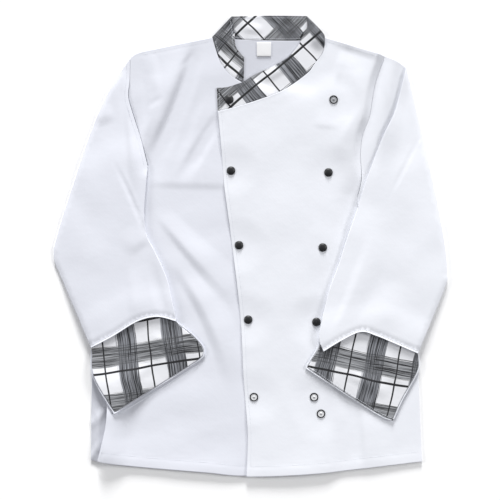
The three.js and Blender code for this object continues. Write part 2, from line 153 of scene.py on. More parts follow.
RIGHT_ARMHOLE_HIDDEN = line((-179, 139), (-184, 124), (-205, 113), (-249, 108))
LEFT_ARMHOLE = line(
    (235, 331), (218, 283), (208, 227), (196, 194), (192, 159), (194, 118), (187, 85)
)
LEFT_ARMHOLE_HIDDEN = line((187, 85), (205, 82), (238, 90), (268, 104))
RIGHT_BACK_ARMHOLE = line((-210, 327), (-219, 260), (-224, 200), (-234, 150), (-249, 108))
LEFT_BACK_ARMHOLE = line((238, 330), (236, 270), (234, 200), (243, 145), (268, 104))
RIGHT_BACK_SIDE = line((-249, 108), (-268, -50), (-277, -217), (-279, -375))
RIGHT_FRONT_SIDE = line(
    (-249, 108), (-259, 0), (-258, -150), (-251, -250), (-252, -312), (-267, -376)
)
LEFT_SIDE = line((268, 104), (283, 0), (293, -217), (297, -314), (300, -377))
BACK_HEM = line(
    (-279, -375), (-207, -385), (-78, -396), (-7, -402), (45, -401), (125, -396), (300, -377)
)
RIGHT_FRONT_HEM = line((-267, -376), (-207, -385), (-78, -396), (-7, -402), (125, -397))
LEFT_FRONT_HEM = line((-7, -403), (45, -402), (125, -397), (206, -388), (300, -377))

# %% Edges of the sleeves
# The arch is where the near layer ends. Past it the far layer shows, with its facing.
RIGHT_SLEEVE_OUTER = line(
    (-211, 327), (-236, 290), (-255, 255), (-284, 185), (-307, 115), (-330, 45), (-344, -5)
)
RIGHT_SLEEVE_ELBOW = line((-344, -5), (-343, -26), (-336, -43))
RIGHT_SLEEVE_FOREARM = line((-336, -43), (-278, -178))
RIGHT_SLEEVE_INNER = line(
    (-129, -132), (-136, -98), (-146, -56), (-167, -9), (-181, 19), (-185, 57), (-182, 103), (-179, 139)
)
RIGHT_ARCH = line((-278, -178), (-240, -158), (-197, -132), (-162, -124), (-129, -132))
RIGHT_CUFF_SIDE = line((-129, -132), (-102, -153), (-83, -174), (-80, -190), (-90, -201))
RIGHT_CUFF_END = line((-90, -201), (-143, -235), (-237, -293))
RIGHT_CUFF_CORNER = line((-237, -293), (-276, -226), (-278, -178))

LEFT_SLEEVE_OUTER = line(
    (272, 312), (286, 255), (302, 185), (318, 115), (332, 45), (342, -16), (343, -52)
)
LEFT_SLEEVE_FOREARM = line((343, -52), (340, -72), (292, -188))
LEFT_SLEEVE_INNER = line(
    (121, -170), (119, -158), (125, -126), (137, -77), (153, -34), (167, 10), (187, 67)
)
LEFT_SLEEVE_FOLD = line((187, 67), (202, 115), (230, 189), (252, 236), (272, 312))
LEFT_ARCH_TIP = line((127, -184), (121, -170))
LEFT_ARCH = line((292, -188), (248, -169), (219, -157), (192, -150), (160, -164), (127, -184))
LEFT_FACING_END = line((292, -188), (248, -169), (219, -157), (192, -152), (160, -164), (122, -172))
LEFT_CUFF_CORNER = line((292, -188), (295, -214), (265, -270), (249, -306))
LEFT_CUFF_END = line((249, -306), (215, -291), (95, -213))
LEFT_CUFF_SIDE = line((95, -213), (121, -170))

# %% Edges of the collar
COLLAR_TOP = line((-33, 401), (30, 402.5), (98, 402))
COLLAR_RIGHT_FOLD = line((-67, 365), (-33, 401))
COLLAR_LEFT_FOLD = line((98, 402), (114, 386), (127, 371), (130, 365))
COLLAR_RIGHT_FREE = line((-11, 330), (-23, 343), (-27, 355), (-28, 372), (-30, 387), (-33, 401))
COLLAR_RIGHT_END = line((-12, 285), (-11, 330))
COLLAR_LEFT_FREE = line(
    (98, 402), (99, 383), (92, 369), (84, 351), (66, 330), (36, 312), (10, 301), (-13, 286)
)
COLLAR_LEFT_TAB = line((-13, 286), (-41, 277), (-59, 276))
COLLAR_LEFT_END = line((-59, 276), (-57, 236))

# %% [markdown]
# ## Relief of a piece
#
# A fold in laid cloth is a soft ridge or trough that starts from nothing, is deepest near
# its middle and dies out again. It could come from a cloth simulation, but then it would
# fall where chance puts it. Here each one is a row in a table, so that it lies where the
# real one does, with its own length, depth and width on each side.

# %% Folds from tables
# left and right: how far a fold reaches to each side of its direction
# bow: how far it curves to its left
# height: below 0 for a trough
# crisp: from 0, round, to 1, pressed sharp
# flare: above 0 where it grows wider along its way
FOLD_COLUMNS = "x y end_x end_y bow height left right crisp flare"
Fold = namedtuple("Fold", FOLD_COLUMNS)
FOLD_STRETCHES = 10
FOLD_ENDS = 0.42  # share of a fold over which each end dies out


def nearest(xy, path):
    """Distance from each point to a line, its side (1 is left) and its share of the way."""
    best = np.full(len(xy), np.inf)
    side, share = np.zeros(len(xy)), np.zeros(len(xy))
    for number, (start, end) in enumerate(zip(path[:-1], path[1:])):
        along, offset = end - start, xy - start
        part = np.clip(offset @ along / (along @ along), 0, 1)
        rest = offset - part[:, None] * along
        distance = np.hypot(rest[:, 0], rest[:, 1])
        closer = distance < best
        best[closer] = distance[closer]
        turn = along[0] * offset[closer, 1] - along[1] * offset[closer, 0]
        side[closer] = np.sign(turn)
        share[closer] = (number + part[closer]) / (len(path) - 1)
    return best, side, share


def smooth(share):
    share = np.clip(share, 0, 1)
    return share * share * (3 - 2 * share)


def crease(xy, fold):
    start = np.array([fold.x, fold.y]) * MM
    end = np.array([fold.end_x, fold.end_y]) * MM
    along = end - start
    left = np.array([-along[1], along[0]]) / np.hypot(*along)
    pull = (start + end) / 2 + 2 * fold.bow * MM * left
    t = np.linspace(0, 1, FOLD_STRETCHES + 1)[:, None]
    path = start * (1 - t) ** 2 + pull * 2 * t * (1 - t) + end * t**2
    distance, side, share = nearest(xy, path)
    reach = np.where(side > 0, fold.left, fold.right) * MM * (1 + fold.flare * (2 * share - 1))
    sharp = np.clip(1 - distance / reach, 0, 1)
    soft = np.clip(1 - (distance / reach) ** 2, 0, 1) ** 2
    profile = fold.crisp * sharp + (1 - fold.crisp) * soft
    return fold.height * MM * profile * smooth(np.minimum(share, 1 - share) / FOLD_ENDS)


def creases(*rows):
    folds = [Fold(*row) for row in rows]
    return lambda xy: sum(crease(xy, fold) for fold in folds)


# %% Relief along an edge
def groove(path, at, width, depth):
    """A soft line of stitching, at a distance from an edge."""
    return lambda xy: -depth * np.exp(-(((nearest(xy, path)[0] - at) / width) ** 2))


def fullness(edges, height, slope):
    """How far the cloth stands up between edges that are held down."""
    def relief(xy):
        return height * smooth(np.min([nearest(xy, edge)[0] for edge in edges], axis=0) / slope)

    return relief


def swell(path, height, near, far, fade):
    """A roll beside an edge: steep towards it, gentle away from it. fade lowers its end."""
    def relief(xy):
        distance, _, share = nearest(xy, path)
        rise = smooth(distance / near) * (1 - smooth((distance - near) / far))
        return height * rise * (1 - fade * share**2)

    return relief


def raised(path, width, height, slope):
    """A band along an edge, as where cloth is turned in double."""
    return lambda xy: height * (1 - smooth((nearest(xy, path)[0] - width) / slope))


def waves(seed, height, shortest, longest, count=9):
    """The calm unevenness that cloth has between its folds."""
    draw = random.Random(seed)
    rows = []
    for _ in range(count):
        angle, length = draw.uniform(0, math.pi), draw.uniform(shortest, longest)
        rows.append((math.cos(angle), math.sin(angle), 2 * math.pi / length, draw.uniform(0, 6.28)))

    def relief(xy):
        total = sum(np.sin((xy[:, 0] * c + xy[:, 1] * s) * k + phase) for c, s, k, phase in rows)
        return height * total / math.sqrt(count)

    return relief


# %% [markdown]
# ## Laying one piece on another
#
# Every piece rests on what is under it, and cloth doesn't step down sharply: it bridges.
# A grid of heights works this out. For each new piece it takes the highest top of all the
# pieces below, widens it a little and blurs it by as much, so the new piece comes down in
# a soft slope and still never dips into what it covers.

# %% Grid of heights
CELL = 3 * MM
GRID_X = np.arange(-363, 364, 3) * MM
GRID_Y = np.arange(-423, 424, 3) * MM
GRID = np.stack(np.meshgrid(GRID_X, GRID_Y), axis=-1).reshape(-1, 2)
LAYER = 1.6 * MM  # from one layer of cloth to the next
WALL = 0.95 * MM  # twill with its turned-in edges
CLEAR = 0.25 * MM  # under each layer
EASE = 0.6 * MM  # rounds the line where a trough meets the piece below


def shifted_max(field, cells):
    for axis in (0, 1):
        field = np.max([np.roll(field, step, axis) for step in range(-cells, cells + 1)], axis=0)
    return field


def blurred(field, cells):
    radii = [cells - 2 * (cells // 3), cells // 3, cells // 3]
    for radius in filter(None, radii):
        for axis in (0, 1):
            steps = range(-radius, radius + 1)
            field = np.mean([np.roll(field, step, axis) for step in steps], axis=0)
    return field


def covered(points):
    """The cells of the grid that an outline covers."""
    mask = np.zeros((len(GRID_Y), len(GRID_X)), bool)
    ends = np.roll(points, -1, axis=0)
    for row, level in enumerate(GRID_Y):
        cross = (points[:, 1] > level) != (ends[:, 1] > level)
        low, high = points[cross], ends[cross]
        x = low[:, 0] + (level - low[:, 1]) * (high - low)[:, 0] / (high - low)[:, 1]
        places = np.sort(x)
        for left, right in zip(places[::2], places[1::2]):
            mask[row] |= (left <= GRID_X) & (right >= GRID_X)
    return mask


def sampled(field, xy):
    """The grid's value at any point."""
    column = (xy[:, 0] - GRID_X[0]) / CELL
    row = (xy[:, 1] - GRID_Y[0]) / CELL
    i, j = np.floor(row).astype(int), np.floor(column).astype(int)
    u, v = column - j, row - i
    low = field[i, j] * (1 - u) + field[i, j + 1] * u
    high = field[i + 1, j] * (1 - u) + field[i + 1, j + 1] * u
    return low * (1 - v) + high * v


# %% Laying
STEP_CELLS = 2  # of the grid, over which even the sharpest step is bridged
laid = []


def lay(points, relief=(), drape=12 * MM, turn=0, shift=(0, 0), pitch=4 * MM):
    """Rests a piece on all that was laid before. Returns its outline and its height."""
    mask = covered(points)
    rest = np.zeros(mask.shape)
    for piece in laid:
        shared = mask & piece.mask
        rest[shared] = np.maximum(rest[shared], piece.over[shared])
    cells = round(drape / CELL)
    soft = blurred(shifted_max(rest, cells), cells)
    hard = blurred(shifted_max(rest, STEP_CELLS), STEP_CELLS)

    def height(xy):
        floor = sampled(hard, xy)
        spare = sampled(soft, xy) + sum(part(xy) for part in relief) - floor
        return floor + (spare + np.sqrt(spare**2 + EASE**2)) / 2

    over = np.zeros(mask.shape)
    over[mask] = height(np.clip(GRID[mask.ravel()], GRID[0], GRID[-1] - CELL)) + LAYER
    piece = SimpleNamespace(
        points=points, mask=mask, over=over, height=height, pitch=pitch,
        grain=(math.radians(turn), np.array(shift) * MM),
    )
    laid.append(piece)
    return piece


# %% [markdown]
# ## From a laid piece to a mesh
#
# The outline is filled with an even mesh of triangles, with a few rows close to the edge,
# where seams and turned edges need them. That flat mesh is used twice, for the cloth's
# upper and lower face, and a rounded rim joins the two. Where two layers share an edge
# they are one cloth that is folded there, so the rim runs round from the upper face of
# the upper layer to the lower face of the lower one, with the inner side likewise.

# %% Mesh of one layer
INSET = 0.5 * MM
EDGE_ROWS = (1.3 * MM, 2.8 * MM, 4.6 * MM, 6.9 * MM)
HALVED_FROM = 4 * MM  # a row further in than this has every second point
ROW_ROOM = 0.93  # share of its distance that a row's point keeps from every edge
CLEARANCE = 8.6 * MM  # between the outline and the even mesh inside
INSIDE = 0.99  # share of a cell that is covered where the even mesh may have a point
WIDEST_MITRE = 0.6  # keeps the rows close to a sharp corner
ONLY_INSIDE, SAME_POINT = 1, 1e-7  # what the triangulation fills, and its tolerance
RIM_ANGLES = (math.pi / 4, math.pi / 2, 3 * math.pi / 4)


def inset(points, distance):
    before = points - np.roll(points, 1, axis=0)
    after = np.roll(points, -1, axis=0) - points
    normals = [
        np.column_stack([-v[:, 1], v[:, 0]]) / np.linalg.norm(v, axis=1)[:, None]
        for v in (before, after)
    ]
    together = np.maximum(1 + np.sum(normals[0] * normals[1], axis=1), WIDEST_MITRE)
    return points + distance * (normals[0] + normals[1]) / together[:, None]


def filling(points, pitch):
    """Points of an even triangular mesh inside an outline."""
    low, high = points.min(axis=0), points.max(axis=0)
    rows = []
    for number, y in enumerate(np.arange(low[1], high[1], pitch * math.sqrt(0.75))):
        x = np.arange(low[0], high[0], pitch) + pitch / 2 * (number % 2)
        rows.append(np.column_stack([x, np.full(len(x), y)]))
    inside = np.vstack(rows)
    inside = inside[sampled(covered(points).astype(float), inside) > INSIDE]
    return inside[nearest(inside, np.vstack([points, points[:1]]))[0] > CLEARANCE]


def flat_mesh(piece):
    ring = inset(piece.points, INSET)
    closed = np.vstack([piece.points, piece.points[:1]])
    rows = [ring]
    for distance in EDGE_ROWS:
        row = inset(piece.points, distance)[:: 1 if distance < HALVED_FROM else 2]
        rows.append(row[nearest(row, closed)[0] > ROW_ROOM * distance])
    rows.append(filling(piece.points, piece.pitch))
    count = len(ring)
    xy = np.vstack(rows)
    border = [(i, (i + 1) % count) for i in range(count)]
    result = delaunay_2d_cdt(xy.tolist(), border, [list(range(count))], ONLY_INSIDE, SAME_POINT)
    places, triangles, origins = np.array([tuple(v) for v in result[0]]), result[2], result[3]
    at = {number: place for place, numbers in enumerate(origins) for number in numbers}
    return places, triangles, [at[i] for i in range(count)]


# %% Closed shell of one or more layers
KEY_STEP = 0.01 * MM  # points closer than this are the same
INNER_REACH = 0.25  # of a fold's inner side, as a share of its outer side's


def placed(name, data):
    """Adds an object to the scene, at its origin."""
    made = bpy.data.objects.new(name, data)
    bpy.context.scene.collection.objects.link(made)
    return made


def mixed(start, end, share):
    return start + (end - start) * share


def shell(name, pieces, wall=WALL):
    """One closed mesh of the given layers, folded where they share an edge."""
    verts, faces, plan, borders = [], [], [], []

    def add(points, grain):
        turn, shift = grain
        first = sum(len(block) for block in verts)
        verts.append(np.asarray(points, float).reshape(-1, 3))
        cos, sin = math.cos(turn), math.sin(turn)
        x, y = verts[-1][:, 0], verts[-1][:, 1]
        plan.append(np.column_stack([x * cos + y * sin, y * cos - x * sin]) + shift)
        return first

    for piece in pieces:
        xy, triangles, ring = flat_mesh(piece)
        bottom = piece.height(xy) + CLEAR
        first_low = add(np.column_stack([xy, bottom]), piece.grain)
        first_top = add(np.column_stack([xy, bottom + wall]), piece.grain)
        for a, b, c in triangles:
            faces.append((first_top + a, first_top + b, first_top + c))
            faces.append((first_low + a, first_low + c, first_low + b))
        keys = [tuple(key) for key in np.round(piece.points / KEY_STEP).astype(int)]
        place = {
            key: SimpleNamespace(
                edge=np.array([*point, bottom[at]]), low=first_low + at, top=first_top + at,
                ring=np.array([*xy[at], 0]), low_z=bottom[at], grain=piece.grain,
            )
            for key, point, at in zip(keys, piece.points, ring)
        }
        borders.append((keys, place))

    def arc(upper, upper_z, lower, lower_z, reach):
        rows = []
        for angle in RIM_ANGLES:
            share = (1 - math.cos(angle)) / 2
            ring = mixed(upper.ring, lower.ring, share)
            point = mixed(ring, mixed(upper.edge, lower.edge, share), reach * math.sin(angle))
            rows.append([point[0], point[1], mixed(upper_z, lower_z, share)])
        first = add(rows, upper.grain)
        return [first, first + 1, first + 2]

    owners = {}
    for number, (keys, _) in enumerate(borders):
        for start, end in zip(keys, keys[1:] + keys[:1]):
            owners.setdefault(frozenset((start, end)), []).append(number)
    rims, folds, ends = {}, {}, {}

    def rim(number, key):
        if (number, key) not in rims:
            v = borders[number][1][key]
            rims[number, key] = [v.top, *arc(v, v.low_z + wall, v, v.low_z, 1), v.low]
        return rims[number, key]

    def fold(low, high, key):
        if key not in folds:
            under, upper = borders[low][1][key], borders[high][1][key]
            outer = arc(upper, upper.low_z + wall, under, under.low_z, 1)
            inner = arc(upper, upper.low_z, under, under.low_z + wall, INNER_REACH)
            folds[key] = [upper.top, *outer, under.low], [upper.low, *inner, under.top]
        return folds[key]

    def strip(one, other):
        for a, b, c, d in zip(one, one[1:], other[1:], other):
            faces.append((a, b, c, d))

    for edge, numbers in owners.items():
        start, end = tuple(edge)
        if len(numbers) == 1:
            strip(rim(numbers[0], start), rim(numbers[0], end))
            for key in edge:
                ends.setdefault(key, set()).add(numbers[0])
        else:
            for one, other in zip(fold(*numbers, start), fold(*numbers, end)):
                strip(one, other)
    for key in set(folds) & set(ends):
        outer, inner = folds[key]
        strip(outer, inner)
        for number in ends[key]:
            faces.append(tuple(rim(number, key)))

    mesh = bpy.data.meshes.new(name)
    mesh.from_pydata(np.vstack(verts).tolist(), [], faces)
    mapped = mesh.uv_layers.new(name="cloth")
    corners = np.zeros(len(mesh.loops), int)
    mesh.loops.foreach_get("vertex_index", corners)
    mapped.data.foreach_set("uv", np.vstack(plan)[corners].ravel())
    build = bmesh.new()
    build.from_mesh(mesh)
    bmesh.ops.recalc_face_normals(build, faces=build.faces)
    bmesh.ops.triangulate(build, faces=[face for face in build.faces if len(face.verts) > 4])
    open_edges = sum(not edge.is_manifold for edge in build.edges)
    build.to_mesh(mesh)
    build.free()
    mesh.shade_smooth()
    print(name, "faces:", len(mesh.polygons), "open edges:", open_edges)
    return placed(name, mesh)


# %% [markdown]
# ## Back and collar's back stretch
#
# The back is the lowest piece. It shows inside the neck, under the label, and as a narrow
# strip beside the right front. The collar is a stand collar: a printed band that is two
# layers of cloth sewn as one. It stands round the neck when worn. Laid down, its back
# stretch lies flat above the neck and each end folds over to the front.

# %% Lay the back
# from an edge to its row of stitches
HEM_STITCH = 18 * MM
SEAM_STITCH = 6 * MM
COLLAR_STITCH = 4 * MM
NECK_STITCH = 3.5 * MM
CUFF_STITCH = 5 * MM
# how wide and how deep a row of stitches draws the cloth in
STITCH_TRACK = 1.6 * MM
STITCH_DIP = 0.25 * MM


def stitched(path, at, depth=STITCH_DIP):
    return groove(path, at, STITCH_TRACK, depth)


back = lay(
    outline(
        BACK_NECK, LEFT_SHOULDER, LEFT_BACK_ARMHOLE, LEFT_SIDE, BACK_HEM, RIGHT_BACK_SIDE,
        RIGHT_BACK_ARMHOLE, RIGHT_SHOULDER_END, RIGHT_SHOULDER,
    ),
    relief=[
        creases(
            (-254, -210, -262, -440, 0, 4, 40, 22, 0.3, 0),
            (-292, -330, -236, -262, 0, 2.4, 8, 12, 0.4, 0),
            (-270, -255, -268, -420, 3, 2, 7, 9, 0.4, 0),
            (-292, -392, -254, -330, 0, 2, 8, 10, 0.4, 0),
        ),
    ],
    pitch=5 * MM,
)
collar_back = lay(
    outline(moved(BACK_NECK, SEAM_GAP), COLLAR_LEFT_FOLD, COLLAR_TOP, COLLAR_RIGHT_FOLD),
    relief=[
        waves(3, 0.5 * MM, 0.04, 0.09),
        stitched(COLLAR_TOP, COLLAR_STITCH),
        creases((-20, 380, 30, 374, 3, 1.6, 12, 12, 0, 0), (50, 386, 96, 380, -3, 1.4, 10, 14, 0, 0)),
    ],
    turn=45,
    shift=(22, 30),
)

# %% [markdown]
# ## Right front
#
# The right front lies under the left one. What shows of it is the cloth beside the
# placket, which has most of the jacket's folds: they fan out from the shoulder and run
# slantwise down to the closing edge.

# %% Lay the right front
HEM_BY_SIDE = RIGHT_FRONT_HEM[:52]  # the half of the hem that lies highest

right_front = lay(
    outline(
        RIGHT_NECKLINE, RIGHT_NECKLINE_HIDDEN, RIGHT_FRONT_EDGE, RIGHT_FRONT_HEM,
        RIGHT_FRONT_SIDE, RIGHT_ARMHOLE_HIDDEN, RIGHT_ARMHOLE, RIGHT_SHOULDER_END,
        RIGHT_SHOULDER,
    ),
    relief=[
        creases(
            (-92, 372, -184, 128, 10, -4.6, 26, 15, 0.3, 0.2),
            (-104, 384, -206, 118, 4, 4.2, 23, 40, 0.4, 0),
            (-172, 345, -165, 255, 0, 1.6, 12, 22, 0.3, 0),
            (-176, 235, -196, 140, 0, 1.6, 9, 14, 0.3, 0),
            (-96, 340, -124, 308, 0, -0.8, 6, 6, 0.6, 0),
            (-182, 285, -183, 155, 0, -0.8, 7, 7, 0.8, 0),
            (-184, 240, -150, 262, 0, -0.6, 8, 8, 0.3, 0),
            (-46, 246, -128, 104, 0, -3, 18, 13, 0.3, 0.2),
            (-90, 275, -132, 145, 0, -1.8, 18, 14, 0.1, 0),
            (-225, 114, 20, 108, 0, 1.1, 50, 13, 0.3, 0),
            (-83, 215, -83, 82, 0, -0.5, 5, 5, 1, 0),
            (-172, 66, -20, -104, -2, 2.9, 36, 14, 0.5, 0.4),
            (-150, -10, -30, -256, 18, 3.6, 40, 16, 0.5, 0.2),
            (-248, -215, -262, -440, 0, 7, 45, 12, 0.2, 0),
            (-120, -220, -50, -350, 0, 0.8, 60, 50, 0, 0),
        ),
        fullness((RIGHT_ARMHOLE, RIGHT_FRONT_SIDE), 1.4 * MM, 45 * MM),
        raised(RIGHT_FRONT_HEM, 4 * MM, 0.7 * MM, 26 * MM),
        raised(HEM_BY_SIDE, 4 * MM, 1.3 * MM, 60 * MM),
        waves(5, 0.3 * MM, 0.06, 0.15),
        stitched(RIGHT_FRONT_HEM, HEM_STITCH),
        stitched(RIGHT_SHOULDER, SEAM_STITCH),
    ],
)
collar_right = lay(
    outline(moved(RIGHT_NECKLINE, SEAM_GAP), COLLAR_RIGHT_END, COLLAR_RIGHT_FREE, COLLAR_RIGHT_FOLD),
    relief=[
        creases((-52, 383, -45, 335, 4, 5, 22, 18, 0, 0)),
        stitched(COLLAR_RIGHT_FREE, COLLAR_STITCH),
    ],
    turn=-38,
    shift=(30, 0),
    drape=9 * MM,
)

# %% [markdown]
# ## Neck label
#
# A small woven label is sewn inside the back neck. It is one more laid piece, a square that
# hardly bends, and it is left bare.

# %% Lay the label
LABEL_CORNERS = [(11, 331), (36, 331), (36, 356), (11, 356), (11, 331)]
label = lay(
    outline(*map(line, LABEL_CORNERS, LABEL_CORNERS[1:])),
    relief=[waves(8, 0.2 * MM, 0.03, 0.05)],
    drape=6 * MM,
    pitch=3 * MM,
)

# %% [markdown]
# ## Left front
#
# The left front closes over the right one. Its edge runs down the middle of the jacket,
# and the snaps hold the two together, so the cloth is drawn down a little round each.

# %% Places of the snaps
SNAPS = {
    "snap_collar": "dome",
    "snap_column_edge_1": "dome",
    "snap_column_edge_2": "dome",
    "snap_column_edge_3": "dome",
    "snap_column_edge_4": "dished",
    "snap_column_chest_0": "ringed",
    "snap_column_chest_1": "dome",
    "snap_column_chest_2": "dome",
    "snap_column_chest_3": "dome",
    "snap_column_chest_4": "dished",
    "snap_column_chest_5": "dished",
}
RIVET_DEPTH = 1 * MM  # of the solid below its cap
SNAP_RADIUS = 7.5 * MM
SNAP_PULL = 46 * MM  # how far round a snap the cloth is drawn down
CAP_BED = 0.05 * MM  # by which the cloth's top passes the foot of a cap


def cap_foot(name):
    """The middle of the ring in which a snap's cap meets the cloth."""
    low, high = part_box(name)
    return np.array([(low.x + high.x) / 2, (low.y + high.y) / 2, low.z + RIVET_DEPTH])


def seated(piece, names):
    """Draws a piece to the foot of each snap that goes through it."""
    feet = [cap_foot(name) for name in names]
    plain = piece.height

    def height(xy):
        z = plain(xy)
        for foot in feet:
            distance = np.hypot(xy[:, 0] - foot[0], xy[:, 1] - foot[1])
            pull = 1 - smooth((distance - SNAP_RADIUS) / SNAP_PULL)
            z = mixed(z, foot[2] - CLEAR - WALL + CAP_BED, pull)
        return z

    piece.height = height
    piece.over[piece.mask] = height(GRID[piece.mask.ravel()]) + LAYER
    return piece


# %% Lay the left front
left_front = lay(
    outline(
        LEFT_NECKLINE[::-1], LEFT_SHOULDER, LEFT_ARMHOLE, LEFT_ARMHOLE_HIDDEN, LEFT_SIDE,
        LEFT_FRONT_HEM, LEFT_FRONT_EDGE,
    ),
    relief=[
        creases(
            (160, 345, 151, 275, 0, 1.6, 34, 9, 0.3, 0),
            (206, 262, 150, 164, 0, 1.1, 46, 14, 0.2, 0),
            (128, 366, 246, 325, 0, 2.2, 9, 12, 0.3, 0),
            (104, 214, 158, 210, 0, 0.7, 34, 9, 0.2, 0),
            (116, 50, 109, -50, 0, 0.8, 34, 14, 0, 0),
            (196, -262, 206, -410, 0, 2.2, 50, 12, 0.3, 0.2),
            (60, 190, 52, -250, 8, 1, 60, 60, 0, 0),
        ),
        fullness((LEFT_ARMHOLE, LEFT_SIDE), 1 * MM, 60 * MM),
        swell(LEFT_ARMHOLE, 8.3 * MM, 13 * MM, 50 * MM, fade=1),
        raised(LEFT_FRONT_HEM, 4 * MM, 0.7 * MM, 26 * MM),
        waves(11, 0.3 * MM, 0.07, 0.16),
        stitched(LEFT_FRONT_EDGE, SEAM_STITCH),
        stitched(LEFT_FRONT_HEM, HEM_STITCH),
        stitched(LEFT_SHOULDER, SEAM_STITCH),
        stitched(LEFT_NECKLINE, 5 * MM, 0.3 * MM),
    ],
    drape=21 * MM,
)
seated(left_front, [name for name in SNAPS if name != "snap_collar"])
collar_left = lay(
    outline(
        moved(LEFT_NECKLINE, -SEAM_GAP), COLLAR_LEFT_END, COLLAR_LEFT_TAB, COLLAR_LEFT_FREE,
        COLLAR_LEFT_FOLD,
    ),
    relief=[
        creases(
            (110, 390, 116, 340, 6, 6, 26, 20, 0, 0),
            (70, 322, 10, 288, 4, 2.2, 12, 16, 0, 0),
        ),
        stitched(COLLAR_LEFT_FREE, COLLAR_STITCH),
    ],
    turn=40,
    shift=(0, 18),
    drape=9 * MM,
)
seated(collar_left, ["snap_collar"])

# %% [markdown]
# ## Sleeves
#
# A sleeve is a tube, pressed flat: a far layer, a near layer, and a fold down each side.
# Its end is cut so that the far layer runs on past the near one, and there the printed
# facing inside it shows. The near layer has a turned and stitched rim along its arch.

# %% Lay the sleeves
SEAM_BACK = 10 * MM  # the far layer stays this far from the armhole seam
FACING_TUCK = 16 * MM  # how far the facing runs on inside the sleeve
FACING_BACK = 3 * MM  # between the facing and the cuff's folded edge
CUFF_LIP = 1.2 * MM  # how far the cuff's edge stands up round its facing
LIP_WIDTH, LIP_SLOPE = 0.6 * MM, 2 * MM  # its raised band, and the way down beside it
LIP_ENDS = 0.08  # share of the cuff's edge over which the lip rises at each end
RIM = 3.3 * MM  # turned edge along the arch
ARCH_STITCH = RIM + 0.6 * MM
SLEEVE_DRAPE = 27 * MM


def tucked(arch, inward):
    """The facing's edge inside the sleeve, clear of the fold at each end."""
    beside = moved(arch, -inward * SEAM_GAP)
    within = moved(arch, inward * FACING_TUCK)
    return np.vstack([beside[:3], within[5:-5], beside[-3:]])


def sleeve_relief(folds, arch, side, seed):
    """Folds, a rolled side, a calm fullness beyond it and the rim of the arch."""
    return [
        creases(*folds),
        fullness([side], 1.6 * MM, 7 * MM),
        fullness([side], 1 * MM, 50 * MM),
        waves(seed, 0.25 * MM, 0.06, 0.14),
        swell(arch, -1.2 * MM, RIM, 9 * MM, fade=0),
    ]


def lipped(piece, cuff):
    """Turns a cuff's edge up round the facing that lies on it."""
    plain = piece.height
    edge = spaced(cuff, EDGE_STEP)
    lip = raised(edge, LIP_WIDTH, CUFF_LIP, LIP_SLOPE)

    def height(xy):
        share = nearest(xy, edge)[2]
        return plain(xy) + lip(xy) * smooth(np.minimum(share, 1 - share) / LIP_ENDS)

    piece.height = height


right_sides = np.vstack([RIGHT_SLEEVE_OUTER, RIGHT_SLEEVE_ELBOW[1:], RIGHT_SLEEVE_FOREARM[1:]])
right_cuff = joined(RIGHT_CUFF_CORNER[::-1], RIGHT_CUFF_END, RIGHT_CUFF_SIDE)
right_far = lay(
    outline(right_sides, right_cuff, RIGHT_SLEEVE_INNER, moved(RIGHT_ARMHOLE, -SEAM_BACK)[6:-2]),
    relief=[waves(21, 0.4 * MM, 0.06, 0.12)],
    drape=SLEEVE_DRAPE,
    pitch=5 * MM,
)
right_facing = lay(
    outline(moved(right_cuff, FACING_BACK)[3:-3], tucked(RIGHT_ARCH, 1)),
    relief=[
        creases(
            (-240, -250, -150, -200, 5, 1.6, 16, 16, 0, 0),
            (-180, -150, -120, -190, 0, 2, 16, 16, 0, 0),
        ),
        waves(23, 0.5 * MM, 0.05, 0.1),
        stitched(RIGHT_CUFF_END, CUFF_STITCH),
    ],
    turn=8,
    drape=9 * MM,
)
right_near = lay(
    outline(right_sides, RIGHT_ARCH, RIGHT_SLEEVE_INNER, moved(RIGHT_ARMHOLE, -SEAM_GAP)),
    relief=[groove(RIGHT_ARMHOLE, 0, 13 * MM, 3 * MM)] + sleeve_relief(
        [
            (-222, 330, -200, 60, 3, 3, 16, 11, 0.3, 0),
            (-278, 218, -236, 236, 0, 1.6, 50, 18, 0.2, 0),
            (-242, 156, -176, 2, 3, -1.6, 5, 5, 1, 0),
            (-238, 160, -174, -4, 3, 0.8, 8, 40, 0.4, 0),
            (-222, -14, -172, 24, 0, 1.2, 34, 15, 0.3, 0),
            (-206, -30, -196, -150, 0, 1.6, 38, 16, 0.2, 0),
            (-176, -10, -142, -150, 0, -1.6, 12, 16, 0.3, 0),
            (-272, 60, -262, -60, 0, 0.8, 60, 50, 0, 0),
        ],
        RIGHT_ARCH, right_sides, 27,
    ),
    drape=SLEEVE_DRAPE,
)

left_sides = np.vstack([LEFT_SLEEVE_OUTER, LEFT_SLEEVE_FOREARM[1:]])
left_cuff = joined(LEFT_CUFF_CORNER, LEFT_CUFF_END, LEFT_CUFF_SIDE)
left_far = lay(
    outline(
        left_sides, left_cuff, LEFT_SLEEVE_INNER, moved(LEFT_ARMHOLE, SEAM_GAP),
        LEFT_SHOULDER_END[1:],
    ),
    relief=[
        creases(
            (290, 480, 192, 50, -4, 4, 22, 26, 0.3, 0),
            (233, 290, 233, 202, 0, -1, 6, 6, 0.6, 0),
        ),
        waves(31, 0.25 * MM, 0.06, 0.12),
    ],
    drape=SLEEVE_DRAPE,
    pitch=4.5 * MM,
)
left_facing = lay(
    outline(moved(left_cuff, -FACING_BACK)[3:-3], tucked(LEFT_FACING_END, -1)),
    relief=[
        creases(
            (250, -270, 150, -215, -5, 1.8, 16, 18, 0, 0),
            (230, -180, 262, -250, 0, 2, 14, 18, 0, 0),
        ),
        waves(33, 0.5 * MM, 0.05, 0.1),
        stitched(LEFT_CUFF_END, CUFF_STITCH),
    ],
    turn=-12,
    drape=9 * MM,
)
